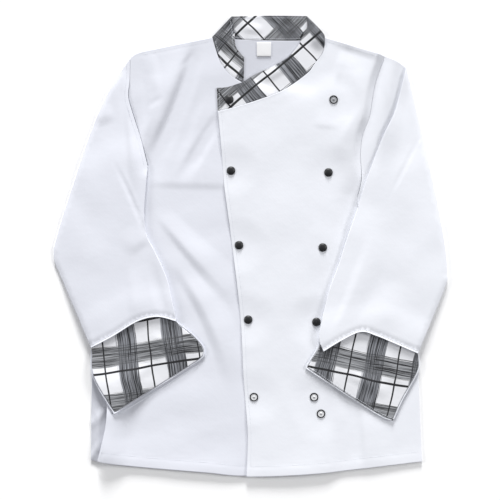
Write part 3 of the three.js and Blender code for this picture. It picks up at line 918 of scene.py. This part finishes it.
left_near = lay(
    outline(left_sides, LEFT_ARCH, LEFT_ARCH_TIP, LEFT_SLEEVE_INNER, LEFT_SLEEVE_FOLD),
    relief=sleeve_relief(
        [
            (300, 200, 238, 76, 0, -0.9, 4.5, 4.5, 1, 0),
            (290, 440, 222, 100, -8, 4, 30, 12, 0.3, 0),
            (218, 34, 138, -170, 5, 2, 34, 14, 0.4, -0.2),
            (312, 0, 264, -140, 0, 0.8, 60, 50, 0, 0),
            (240, -60, 236, -140, 0, 0.6, 38, 18, 0, 0),
        ],
        LEFT_ARCH, left_sides, 37,
    ),
    drape=SLEEVE_DRAPE,
)
lipped(right_far, right_cuff)
lipped(left_far, left_cuff)
print("highest top:", round(max(piece.over.max() for piece in laid) / MM, 1), "mm")

# %% [markdown]
# ## Cloth as meshes
#
# Layers that are sewn as one become one closed shell: the two of a sleeve, and the three
# stretches of the collar. Separate shells keep each cloth as one solid piece with its own
# two faces, as a real one has. The table also says which node of the model a piece stands
# for, its slot, and the cloth that it rests on.

# %% Meshes of the cloth
LABEL_WALL = 0.7 * MM  # a label is thinner than twill
Cloth = namedtuple("Cloth", "name node slot layers below")
CLOTHS = [
    Cloth("back", "back_panel", "twill", [back], []),
    Cloth("front_right", "front_right", "twill", [right_front], ["back"]),
    Cloth("front_left", "front_left", "twill", [left_front], ["front_right"]),
    Cloth(
        "collar", "collar", "print", [collar_back, collar_right, collar_left],
        ["front_left", "front_right"],
    ),
    Cloth("label", "neck_label", "label", [label], ["back"]),
    Cloth("sleeve_right", "sleeve_right", "twill", [right_far, right_near], ["front_right"]),
    Cloth("facing_right", "cuff_facing_right", "print", [right_facing], ["sleeve_right"]),
    Cloth("sleeve_left", "sleeve_left", "twill", [left_far, left_near], ["front_left"]),
    Cloth("facing_left", "cuff_facing_left", "print", [left_facing], ["sleeve_left"]),
]
cloths = {}
for cloth in CLOTHS:
    wall = LABEL_WALL if cloth.name == "label" else WALL
    cloths[cloth.name] = shell("cloth_" + cloth.name, cloth.layers, wall)

# %% [markdown]
# ## Finishes
#
# Every material is built from nodes. `add_node` adds one node, sets its values and links
# its inputs, so a material reads as a short list. Cloth patterns read the cloth's own
# map, which holds the place of each point on the cut piece in metres. A pattern then
# runs with the cloth's grain, also over a fold.

# %% Small helpers for materials
def srgb(code, share=1):
    """A hex code as the linear values that a shader works with. share darkens it."""
    parts = [int(code[at:at + 2], 16) / 255 for at in (0, 2, 4)]
    linear = [part / 12.92 if part <= 0.04045 else ((part + 0.055) / 1.055) ** 2.4 for part in parts]
    return (*[share * part for part in linear], 1)


def add_node(tree, kind, inputs=(), **settings):
    """Adds a node. inputs maps a socket to a value, or to the socket that feeds it."""
    node = tree.nodes.new(kind)
    for name, value in settings.items():
        setattr(node, name, value)
    for socket, value in dict(inputs).items():
        if isinstance(value, bpy.types.NodeSocket):
            tree.links.new(value, node.inputs[socket])
        else:
            node.inputs[socket].default_value = value
    return node


def new_material(name):
    material = bpy.data.materials.new(name)
    material.use_nodes = True
    material.node_tree.nodes.clear()
    return material, material.node_tree


def shade(tree, inputs):
    """Ends a material with its shader and its output."""
    shader = add_node(tree, "ShaderNodeBsdfPrincipled", inputs)
    add_node(tree, "ShaderNodeOutputMaterial", {"Surface": shader.outputs["BSDF"]})


# %% [markdown]
# ### Twill
#
# White poly-cotton twill, woven in a fine diagonal and pressed. It is matt, with hardly any
# sheen from its fibres. The real diagonal is about 0.5 mm wide, too fine to show from
# above the whole jacket, so it is drawn 1.2 mm wide. White cloth lets some light through:
# the left front and its sleeve have more cloth below them and look a little whiter. The
# right front and its sleeve get a greyer copy of the twill, which is painted shade, and the
# back, alone on the floor, shows its inner side in a greyer copy still: painted shade
# inside the neck and in the strip beside the right front.

# %% Twill
TWILL_PITCH = 1.2 * MM
CRUMPLES, CLOUDS = 38.0, 9.0  # lumps of noise in a metre of cloth
CLOUD_SHADE = 0.965  # how light the darkest clouds are


def twill_material(name, code):
    material, tree = new_material(name)
    place = add_node(tree, "ShaderNodeUVMap", uv_map="cloth").outputs["UV"]
    diagonal = add_node(
        tree, "ShaderNodeTexWave",
        {"Vector": place, "Scale": 0.5 / TWILL_PITCH / math.sqrt(2) / math.pi, "Distortion": 0.6,
         "Detail": 1.0, "Detail Scale": 2.0},
        bands_direction="DIAGONAL",
    )
    crumple = add_node(
        tree, "ShaderNodeTexNoise",
        {"Vector": place, "Scale": CRUMPLES, "Detail": 4.0, "Roughness": 0.55},
    )
    weave = add_node(
        tree, "ShaderNodeBump",
        {"Height": diagonal.outputs["Fac"], "Strength": 0.12, "Distance": 0.06 * MM},
    )
    surface = add_node(
        tree, "ShaderNodeBump",
        {"Height": crumple.outputs["Fac"], "Strength": 0.3, "Distance": 1.2 * MM,
         "Normal": weave.outputs["Normal"]},
    )
    cloud = add_node(
        tree, "ShaderNodeTexNoise",
        {"Vector": place, "Scale": CLOUDS, "Detail": 3.0, "Roughness": 0.5},
    )
    tint = add_node(
        tree, "ShaderNodeMix",
        {"Factor": cloud.outputs["Fac"], "A": srgb(code, CLOUD_SHADE), "B": srgb(code)},
        data_type="RGBA",
    )
    shade(tree, {
        "Base Color": tint.outputs["Result"], "Normal": surface.outputs["Normal"],
        "Roughness": 0.85, "Specular IOR Level": 0.1, "Sheen Weight": 0.04, "Sheen Roughness": 0.5,
    })
    return material


TWILL = twill_material("Poly-cotton twill, white, pressed", "E8EAF0")
# Painted shade: a greyer copy of the twill for the right front and its sleeve.
TWILL_PAINTED_SHADE = twill_material("Poly-cotton twill, white, painted shade", "E0E2EA")
# Painted shade: a greyer copy still for the back, where it shows inside the neck and beside the right
# front.
TWILL_PAINTED_DEEP_SHADE = twill_material("Poly-cotton twill, white, painted deeper shade", "D0D2DA")

# %% [markdown]
# ### Print
#
# The collar and the cuffs' facings are printed with a check that looks painted by hand:
# grey brushed bands cross on white, and a thin and a bold black line run between them. A
# check is one set of stripes along the warp and one along the weft, so both are made in
# the same way, and where they cross the darker one shows. The brush marks are noise that
# is stretched along the band. The same noise frays the band's edges.

# %% Print
CHECK_REPEAT = 82 * MM
BAND = 36 * MM  # brushed band, the rest is white
BAND_START = 2 * MM  # in the repeat, before its edges are frayed
BAND_SOFT, LINE_SOFT = 1.5 * MM, 0.3 * MM  # over which an edge fades
FRAY = 15 * MM  # how far full noise shifts the edge of a band
STREAK = 1.7 * MM  # width of one brush mark
STREAKS_ALONG = 12  # in a metre of band
SWAY = 5 * MM  # how far the hand-drawn lines stray
SWAYS, THREADS = 13.0, 60.0  # lumps of noise in a metre of cloth
# how far past a band's width each black line starts in the repeat, and its own width
CHECK_LINES = {"X": (16 * MM, 3 * MM), "Y": (29 * MM, 4.4 * MM)}


def stripe(tree, across, start, width, soft):
    """1 on a stripe that comes back in each repeat, 0 beside it."""
    turns = add_node(tree, "ShaderNodeMath", {0: across, 1: CHECK_REPEAT}, operation="DIVIDE")
    turn = add_node(tree, "ShaderNodeMath", {0: turns.outputs[0]}, operation="FRACT")
    ramp = add_node(tree, "ShaderNodeValToRGB", {"Fac": turn.outputs[0]})
    stops = ramp.color_ramp.elements
    places = [start, start + soft, start + width - soft, start + width]
    for number, (place, level) in enumerate(zip(places, (0, 1, 1, 0))):
        stop = stops[number] if number < 2 else stops.new(place / CHECK_REPEAT)
        stop.position = place / CHECK_REPEAT
        stop.color = (level, level, level, 1)
    return ramp.outputs["Color"]


def check_material(name):
    material, tree = new_material(name)
    place = add_node(tree, "ShaderNodeUVMap", uv_map="cloth").outputs["UV"]
    stray = add_node(
        tree, "ShaderNodeTexNoise",
        {"Vector": place, "Scale": SWAYS, "Detail": 1.0, "Roughness": 0.4},
    )
    strayed = add_node(
        tree, "ShaderNodeVectorMath",
        {0: stray.outputs["Color"], 1: (SWAY * 2, SWAY * 2, 0), 2: place}, operation="MULTIPLY_ADD",
    ).outputs["Vector"]
    axes = add_node(tree, "ShaderNodeSeparateXYZ", {"Vector": strayed})
    # The print's ground is a little grey; part of that grey is painted shade, as where the collar bends
    # away from the light.
    colour = srgb("E2E3E7")
    for across in ("X", "Y"):
        scale = (1 / STREAK, STREAKS_ALONG, 1) if across == "X" else (STREAKS_ALONG, 1 / STREAK, 1)
        stretched = add_node(tree, "ShaderNodeMapping", {"Vector": strayed, "Scale": scale})
        streaks = add_node(
            tree, "ShaderNodeTexNoise",
            {"Vector": stretched.outputs["Vector"], "Scale": 1.0, "Detail": 3.0, "Roughness": 0.65},
        )
        ink = add_node(
            tree, "ShaderNodeMapRange",
            {"Value": streaks.outputs["Fac"], "From Min": 0.4, "From Max": 0.62},
        )
        brushed = add_node(
            tree, "ShaderNodeMix",
            {"Factor": ink.outputs["Result"], "A": srgb("151619"), "B": srgb("A4A6AA")},
            data_type="RGBA",
        )
        frayed = add_node(
            tree, "ShaderNodeMath",
            {0: streaks.outputs["Fac"], 1: FRAY, 2: axes.outputs[across]}, operation="MULTIPLY_ADD",
        )
        band = add_node(
            tree, "ShaderNodeMix",
            {"Factor": stripe(tree, frayed.outputs[0], BAND_START, BAND, BAND_SOFT),
             "A": srgb("FFFFFF"), "B": brushed.outputs["Result"]},
            data_type="RGBA",
        )
        start, width = CHECK_LINES[across]
        drawn = add_node(
            tree, "ShaderNodeMix",
            {"Factor": stripe(tree, axes.outputs[across], BAND + start, width, LINE_SOFT),
             "A": band.outputs["Result"], "B": srgb("1B1C1F")},
            data_type="RGBA",
        )
        crossed = add_node(
            tree, "ShaderNodeMix", {"Factor": 1.0, "A": colour, "B": drawn.outputs["Result"]},
            data_type="RGBA", blend_type="MULTIPLY" if across == "X" else "DARKEN",
        )
        colour = crossed.outputs["Result"]
    threads = add_node(
        tree, "ShaderNodeTexNoise",
        {"Vector": place, "Scale": THREADS, "Detail": 5.0, "Roughness": 0.6},
    )
    surface = add_node(
        tree, "ShaderNodeBump",
        {"Height": threads.outputs["Fac"], "Strength": 0.5, "Distance": 1.0 * MM},
    )
    shade(tree, {"Base Color": colour, "Normal": surface.outputs["Normal"], "Roughness": 0.8})
    return material


CHECK = check_material("Printed cotton, grey and black check")

# %% [markdown]
# ### Label, thread and snaps
#
# The label is satin-woven polyester, smoother than twill. The thread is spun polyester.
# Eight of the snaps' caps are brass with black baked enamel, smooth and dull. On the one
# nearest the shoulder the grey inside its black rolled edge is a painted reflection. The
# lowest three are bare nickel plate, darker on the rolled edge. A cap's mesh carries a
# value, "dark", that is 1 on the rolled edge and less on the post, and the material darkens
# the metal by it. On the post that darkening is painted shade.

# %% Label, thread and metal
def plain_material(name, code, roughness, grain, relief, metallic=0.0, variation=0.12, edge=None):
    """One colour with a fine grain. edge is the colour where the mesh is marked as dark."""
    material, tree = new_material(name)
    place = add_node(tree, "ShaderNodeTexCoord").outputs["Object"]
    noise = add_node(
        tree, "ShaderNodeTexNoise", {"Vector": place, "Scale": 1 / grain, "Detail": 3.0}
    ).outputs["Fac"]
    surface = add_node(
        tree, "ShaderNodeBump", {"Height": noise, "Strength": 0.6, "Distance": relief}
    )
    tint = add_node(
        tree, "ShaderNodeMix", {"Factor": noise, "A": srgb(code, 1 - variation), "B": srgb(code)},
        data_type="RGBA",
    )
    colour = tint.outputs["Result"]
    if edge:
        mark = add_node(tree, "ShaderNodeAttribute", attribute_name="dark")
        edged = add_node(
            tree, "ShaderNodeMix", {"Factor": mark.outputs["Fac"], "A": colour, "B": srgb(edge)},
            data_type="RGBA",
        )
        colour = edged.outputs["Result"]
    spread = add_node(
        tree, "ShaderNodeMapRange",
        {"Value": noise, "To Min": 0.85 * roughness, "To Max": 1.15 * roughness},
    )
    shade(tree, {
        "Base Color": colour, "Normal": surface.outputs["Normal"],
        "Roughness": spread.outputs["Result"], "Metallic": metallic,
    })
    return material


SATIN = plain_material("Satin-woven polyester, white", "F0F0F1", 0.5, 1.5 * MM, 0.1 * MM)
THREAD = plain_material("Spun polyester thread, white", "DDE0E7", 0.7, 0.6 * MM, 0.05 * MM)
ENAMEL = plain_material("Black enamel on brass", "17181B", 0.5, 1.2 * MM, 0.01 * MM)
# The grey is a painted reflection on black enamel; the rolled edge keeps the enamel's black.
ENAMEL_PAINTED_REFLECTION = plain_material(
    "Black enamel on brass, painted grey reflection", "A4A6AA", 0.6, 1.2 * MM, 0.01 * MM, edge="101114"
)
# Darker on the rolled edge, by the mesh's "dark" value, and a little darker on the post as painted
# shade.
NICKEL = plain_material(
    "Nickel plate, darker rolled edge", "ECEDEF", 0.6, 0.8 * MM, 0.015 * MM, metallic=0.35,
    edge="1B1C1E",
)
for finish, names in (
    (TWILL, ("front_left", "sleeve_left")),
    (TWILL_PAINTED_SHADE, ("front_right", "sleeve_right")),
    (TWILL_PAINTED_DEEP_SHADE, ("back",)),
    (CHECK, ("collar", "facing_right", "facing_left")),
    (SATIN, ("label",)),
):
    for name in names:
        cloths[name].data.materials.append(finish)

# %% [markdown]
# ## Stitching
#
# Edges and hems are held by a line of topstitching. Each line is the same small stitch
# again and again along a path, which is what Geometry Nodes are for: the path is
# resampled at the stitch length, and a short round thread is set on each point, turned
# along the path.

# %% Stitches with Geometry Nodes
STITCH = 3.4 * MM  # from one stitch to the next
STITCH_SHARE = 0.74  # of that length on top of the cloth
THREAD_RADIUS = 0.32 * MM
THREAD_LIFT = 0.3  # of the radius, from the cloth's top to the thread's middle
PATH_STEP = 3 * MM


def stitch_tree():
    tree = bpy.data.node_groups.new("Stitches along a path", "GeometryNodeTree")
    face = tree.interface
    face.new_socket("Path", in_out="INPUT", socket_type="NodeSocketGeometry")
    for name, value in (("Stitch", STITCH), ("Share", STITCH_SHARE), ("Thread radius", THREAD_RADIUS)):
        socket = face.new_socket(name, in_out="INPUT", socket_type="NodeSocketFloat")
        socket.default_value = value
    face.new_socket("Thread", in_out="INPUT", socket_type="NodeSocketMaterial")
    face.new_socket("Stitches", in_out="OUTPUT", socket_type="NodeSocketGeometry")
    given = add_node(tree, "NodeGroupInput").outputs
    curve = add_node(tree, "GeometryNodeMeshToCurve", {"Mesh": given["Path"]})
    points = add_node(
        tree, "GeometryNodeResampleCurve",
        {"Curve": curve.outputs["Curve"], "Length": given["Stitch"]}, mode="LENGTH",
    )
    along = add_node(tree, "GeometryNodeInputTangent")
    turned = add_node(
        tree, "FunctionNodeAlignRotationToVector", {"Vector": along.outputs["Tangent"]}, axis="Z"
    )
    length = add_node(
        tree, "ShaderNodeMath", {0: given["Stitch"], 1: given["Share"]}, operation="MULTIPLY"
    )
    thread = add_node(
        tree, "GeometryNodeMeshUVSphere",
        {"Segments": 6, "Rings": 4, "Radius": 0.5},
    )
    across = add_node(
        tree, "ShaderNodeMath", {0: given["Thread radius"], 1: 2.0}, operation="MULTIPLY"
    )
    size = add_node(
        tree, "ShaderNodeCombineXYZ",
        {"X": across.outputs[0], "Y": across.outputs[0], "Z": length.outputs[0]},
    )
    stitches = add_node(
        tree, "GeometryNodeInstanceOnPoints",
        {"Points": points.outputs["Curve"], "Instance": thread.outputs["Mesh"],
         "Rotation": turned.outputs["Rotation"], "Scale": size.outputs["Vector"]},
    )
    real = add_node(tree, "GeometryNodeRealizeInstances", {"Geometry": stitches.outputs["Instances"]})
    finished = add_node(
        tree, "GeometryNodeSetMaterial",
        {"Geometry": real.outputs["Geometry"], "Material": given["Thread"]},
    )
    add_node(tree, "NodeGroupOutput", {"Stitches": finished.outputs["Geometry"]})
    return tree


STITCHES = stitch_tree()


def trimmed(edge, distance, start, end):
    """A path beside an edge. start and end are left off, in millimetres."""
    path = spaced(moved(edge, distance), PATH_STEP)
    first, last = round(start * MM / PATH_STEP), round(end * MM / PATH_STEP)
    return path[first:len(path) - last]


def stitching(name, piece, rows):
    """One mesh of the stitches that lie on a piece, along a path for each row."""
    verts, edges = [], []
    for row in rows:
        path = trimmed(*row)
        first = len(verts)
        z = piece.height(path) + CLEAR + WALL
        verts += np.column_stack([path, z + THREAD_LIFT * THREAD_RADIUS]).tolist()
        edges += [(at, at + 1) for at in range(first, len(verts) - 1)]
    mesh = bpy.data.meshes.new(name)
    mesh.from_pydata(verts, edges, [])
    guide = placed(name, mesh)
    modifier = guide.modifiers.new("Stitches", "NODES")
    modifier.node_group = STITCHES
    for item in STITCHES.interface.items_tree:
        if item.in_out == "INPUT" and item.name == "Thread":
            modifier[item.identifier] = THREAD
    bpy.context.view_layer.update()
    graph = bpy.context.evaluated_depsgraph_get()
    made = bpy.data.meshes.new_from_object(guide.evaluated_get(graph))
    guide.modifiers.clear()
    guide.data = made
    made.name = name
    print(name, "faces:", len(made.polygons))
    return guide


# %% Rows of stitches
# An edge, how far the row is to its left, and what is left off at its start and its end.
SEWN = {
    "front_left": (left_front, [
        (LEFT_FRONT_EDGE, SEAM_STITCH, 6, 6),
        (LEFT_FRONT_HEM, HEM_STITCH, 8, 6),
        (LEFT_SHOULDER, -SEAM_STITCH, 4, 4),
    ]),
    "front_right": (right_front, [
        (RIGHT_FRONT_HEM, HEM_STITCH, 6, 6),
        (RIGHT_SHOULDER, SEAM_STITCH, 4, 4),
    ]),
    "collar_left": (collar_left, [
        (COLLAR_LEFT_FREE, -COLLAR_STITCH, 12, 4),
        (COLLAR_LEFT_END, COLLAR_STITCH, 4, 4),
        (LEFT_NECKLINE, NECK_STITCH, 8, 4),
    ]),
    "collar_right": (collar_right, [
        (COLLAR_RIGHT_FREE, COLLAR_STITCH, 4, 8),
        (RIGHT_NECKLINE, NECK_STITCH, 8, 6),
    ]),
    "collar_back": (collar_back, [
        (COLLAR_TOP, -COLLAR_STITCH, 5, 5),
        (BACK_NECK, NECK_STITCH, 10, 10),
    ]),
    "sleeve_right": (right_near, [
        (RIGHT_ARCH, ARCH_STITCH, 6, 6),
        (RIGHT_ARMHOLE, -SEAM_STITCH, 6, 6),
    ]),
    "sleeve_left": (left_near, [(LEFT_ARCH, -ARCH_STITCH, 6, 6)]),
    "facing_right": (right_facing, [(RIGHT_CUFF_END, CUFF_STITCH, 6, 6)]),
    "facing_left": (left_facing, [(LEFT_CUFF_END, -CUFF_STITCH, 6, 6)]),
}
threads = {name: stitching("thread_" + name, *sewn) for name, sewn in SEWN.items()}

# %% [markdown]
# ## Snaps
#
# A snap's cap is pressed from sheet metal: a low dome with a rolled edge, or on the bare
# nickel ones, and on the dark one nearest the shoulder, a dish with a raised post in the
# middle. Each is one profile turned round an axis, with enough steps to look round from
# close by.

# %% Caps
CAP_SIDES = 48
DISH_RADIUS = 5.3 * MM  # inside the rolled edge, which is dark
POST_RADIUS = 1.9 * MM
# On the post, the darkening is painted shade.
POST_PAINTED_SHADE = 0.35  # of the edge's darkness
# radius and height in millimetres, from the cloth to the middle of the top
DOME = [
    (6.3, -0.2), (7.1, 0), (7.45, 0.35), (7.5, 0.7), (7.35, 1.1), (6.9, 1.35), (6.6, 1.4),
    (6.45, 1.6), (6.1, 2.05), (5.2, 2.55), (4, 2.95), (2.6, 3.2), (1.2, 3.35), (0, 3.4),
]
DISHED = [
    (6.3, -0.2), (7.1, 0), (7.45, 0.4), (7.45, 0.9), (7.2, 1.35), (6.8, 1.55), (6.4, 1.55),
    (6, 1.35), (5.6, 0.95), (5, 0.8), (2.4, 0.75), (2, 0.85), (1.7, 1.2), (1.4, 1.5),
    (0.8, 1.6), (0, 1.62),
]
CAPS = {
    "dome": (DOME, ENAMEL, "dark_snap"),
    "ringed": (DISHED, ENAMEL_PAINTED_REFLECTION, "dark_snap"),
    "dished": (DISHED, NICKEL, "metal_snap"),
}


def cap(name, kind):
    """A profile turned round the snap's axis and closed below."""
    profile, finish, slot = CAPS[kind]
    foot = cap_foot(name)
    angles = 2 * math.pi * np.arange(CAP_SIDES) / CAP_SIDES
    circle = np.column_stack([np.cos(angles), np.sin(angles)])
    corners = [(*(radius * xy), height) for radius, height in profile[:-1] for xy in circle]
    crown = len(corners)
    corners.append((0, 0, profile[-1][1]))
    sides = [(side, (side + 1) % CAP_SIDES) for side in range(CAP_SIDES)]
    faces = []
    for low in range(0, crown - CAP_SIDES, CAP_SIDES):
        top = low + CAP_SIDES
        faces += [(low + a, low + b, top + b, top + a) for a, b in sides]
    faces.append(tuple(range(CAP_SIDES))[::-1])
    faces += [(top + a, top + b, crown) for a, b in sides]
    mesh = bpy.data.meshes.new("cap_" + name)
    mesh.from_pydata((foot + np.array(corners) * MM).tolist(), [], faces)
    mesh.shade_smooth()
    marks = mesh.attributes.new("dark", "FLOAT", "POINT").data
    for vertex, mark in zip(mesh.vertices, marks):
        radius = math.dist(vertex.co.xy, foot[:2])
        mark.value = 1 if radius > DISH_RADIUS else POST_PAINTED_SHADE * (radius < POST_RADIUS)
    mesh.materials.append(finish)
    made = placed("cap_" + name, mesh)
    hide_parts(name)
    return made


caps = [cap(name, kind) for name, kind in SNAPS.items()]
print("snaps:", len(caps))

# %% [markdown]
# ## What each piece stands for
#
# The cloth pieces take the place of the plain solids, which keep their part in the
# physics. The size to which each piece of cloth was cut is worked out and printed. The
# floor is only the stage.

# %% Floor
FLOOR_HALF = 12.0
floor_mesh = bpy.data.meshes.new("floor")
floor_mesh.from_pydata(
    [(x * FLOOR_HALF, y * FLOOR_HALF, 0) for x, y in ((-1, -1), (1, -1), (1, 1), (-1, 1))], [],
    [(0, 1, 2, 3)],
)
BOARD = plain_material("Painted board, pale", "FEFEFE", 0.9, 60 * MM, 0.0, variation=0.01)
floor_mesh.materials.append(BOARD)
floor = placed("floor", floor_mesh)

# %% Bodies and cut sizes
LEAST_FILLED = 0.3  # share of width by length that a cut piece fills at least

for cloth in CLOTHS:
    made = cloths[cloth.name]
    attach(made, BODY)
    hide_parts(cloth.node)
    spans = [piece.points.max(axis=0) - piece.points.min(axis=0) for piece in cloth.layers]
    width = sum(span[0] for span in spans)
    length = max(span[1] for span in spans)
    area = sum(abs(signed_area(piece.points)) for piece in cloth.layers)
    if area < LEAST_FILLED * width * length:
        length = area / (LEAST_FILLED * width)
    print(cloth.node, "flat:", round(width, 3), "x", round(length, 3), "area:", round(area, 4))
for thread in threads.values():
    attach(thread, BODY)
for made in caps:
    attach(made, BODY)

# %% [markdown]
# ## Light and camera
#
# The jacket is seen from straight above. Two soft lights at its sides, the right one
# stronger, darken the foot of each step and fold. A third and stronger light, low beyond
# the collar, shows the folds that run across and draws the short shadow under the hem. A
# pale sky fills the rest.

# %% Light
def lamp(name, strength, place, softness):
    """Light that falls from the side of its place. softness is its width in degrees."""
    data = bpy.data.lights.new(name, "SUN")
    data.energy = strength
    data.angle = math.radians(softness)
    light = placed(name, data)
    light.location = place
    light.rotation_euler = (-Vector(place)).to_track_quat("-Z", "Y").to_euler()


lamp("right light", 1.4, (3, 0.8, 1.8), 20)
lamp("left light", 1.1, (-3, 0.8, 1.4), 20)
lamp("low light", 4.9, (0, 3.5, 1), 16)
world = bpy.data.worlds.new("studio")
world.use_nodes = True
sky = world.node_tree.nodes["Background"].inputs
sky["Color"].default_value = srgb("FAFBFF")
sky["Strength"].default_value = 0.28
bpy.context.scene.world = world

# %% Camera
VIEW_WIDTH = 0.875  # metres of the floor from side to side of the picture
CAMERA_HEIGHT = 2.2
VIEW_CENTRE = (-0.0009, -0.0074)
SENSOR = 36
camera_data = bpy.data.cameras.new("camera")
camera_data.sensor_width = SENSOR
camera_data.lens = SENSOR * CAMERA_HEIGHT / VIEW_WIDTH
camera = placed("camera", camera_data)
camera.location = (*VIEW_CENTRE, CAMERA_HEIGHT)
bpy.context.scene.camera = camera
bpy.context.scene.view_settings.view_transform = "Standard"
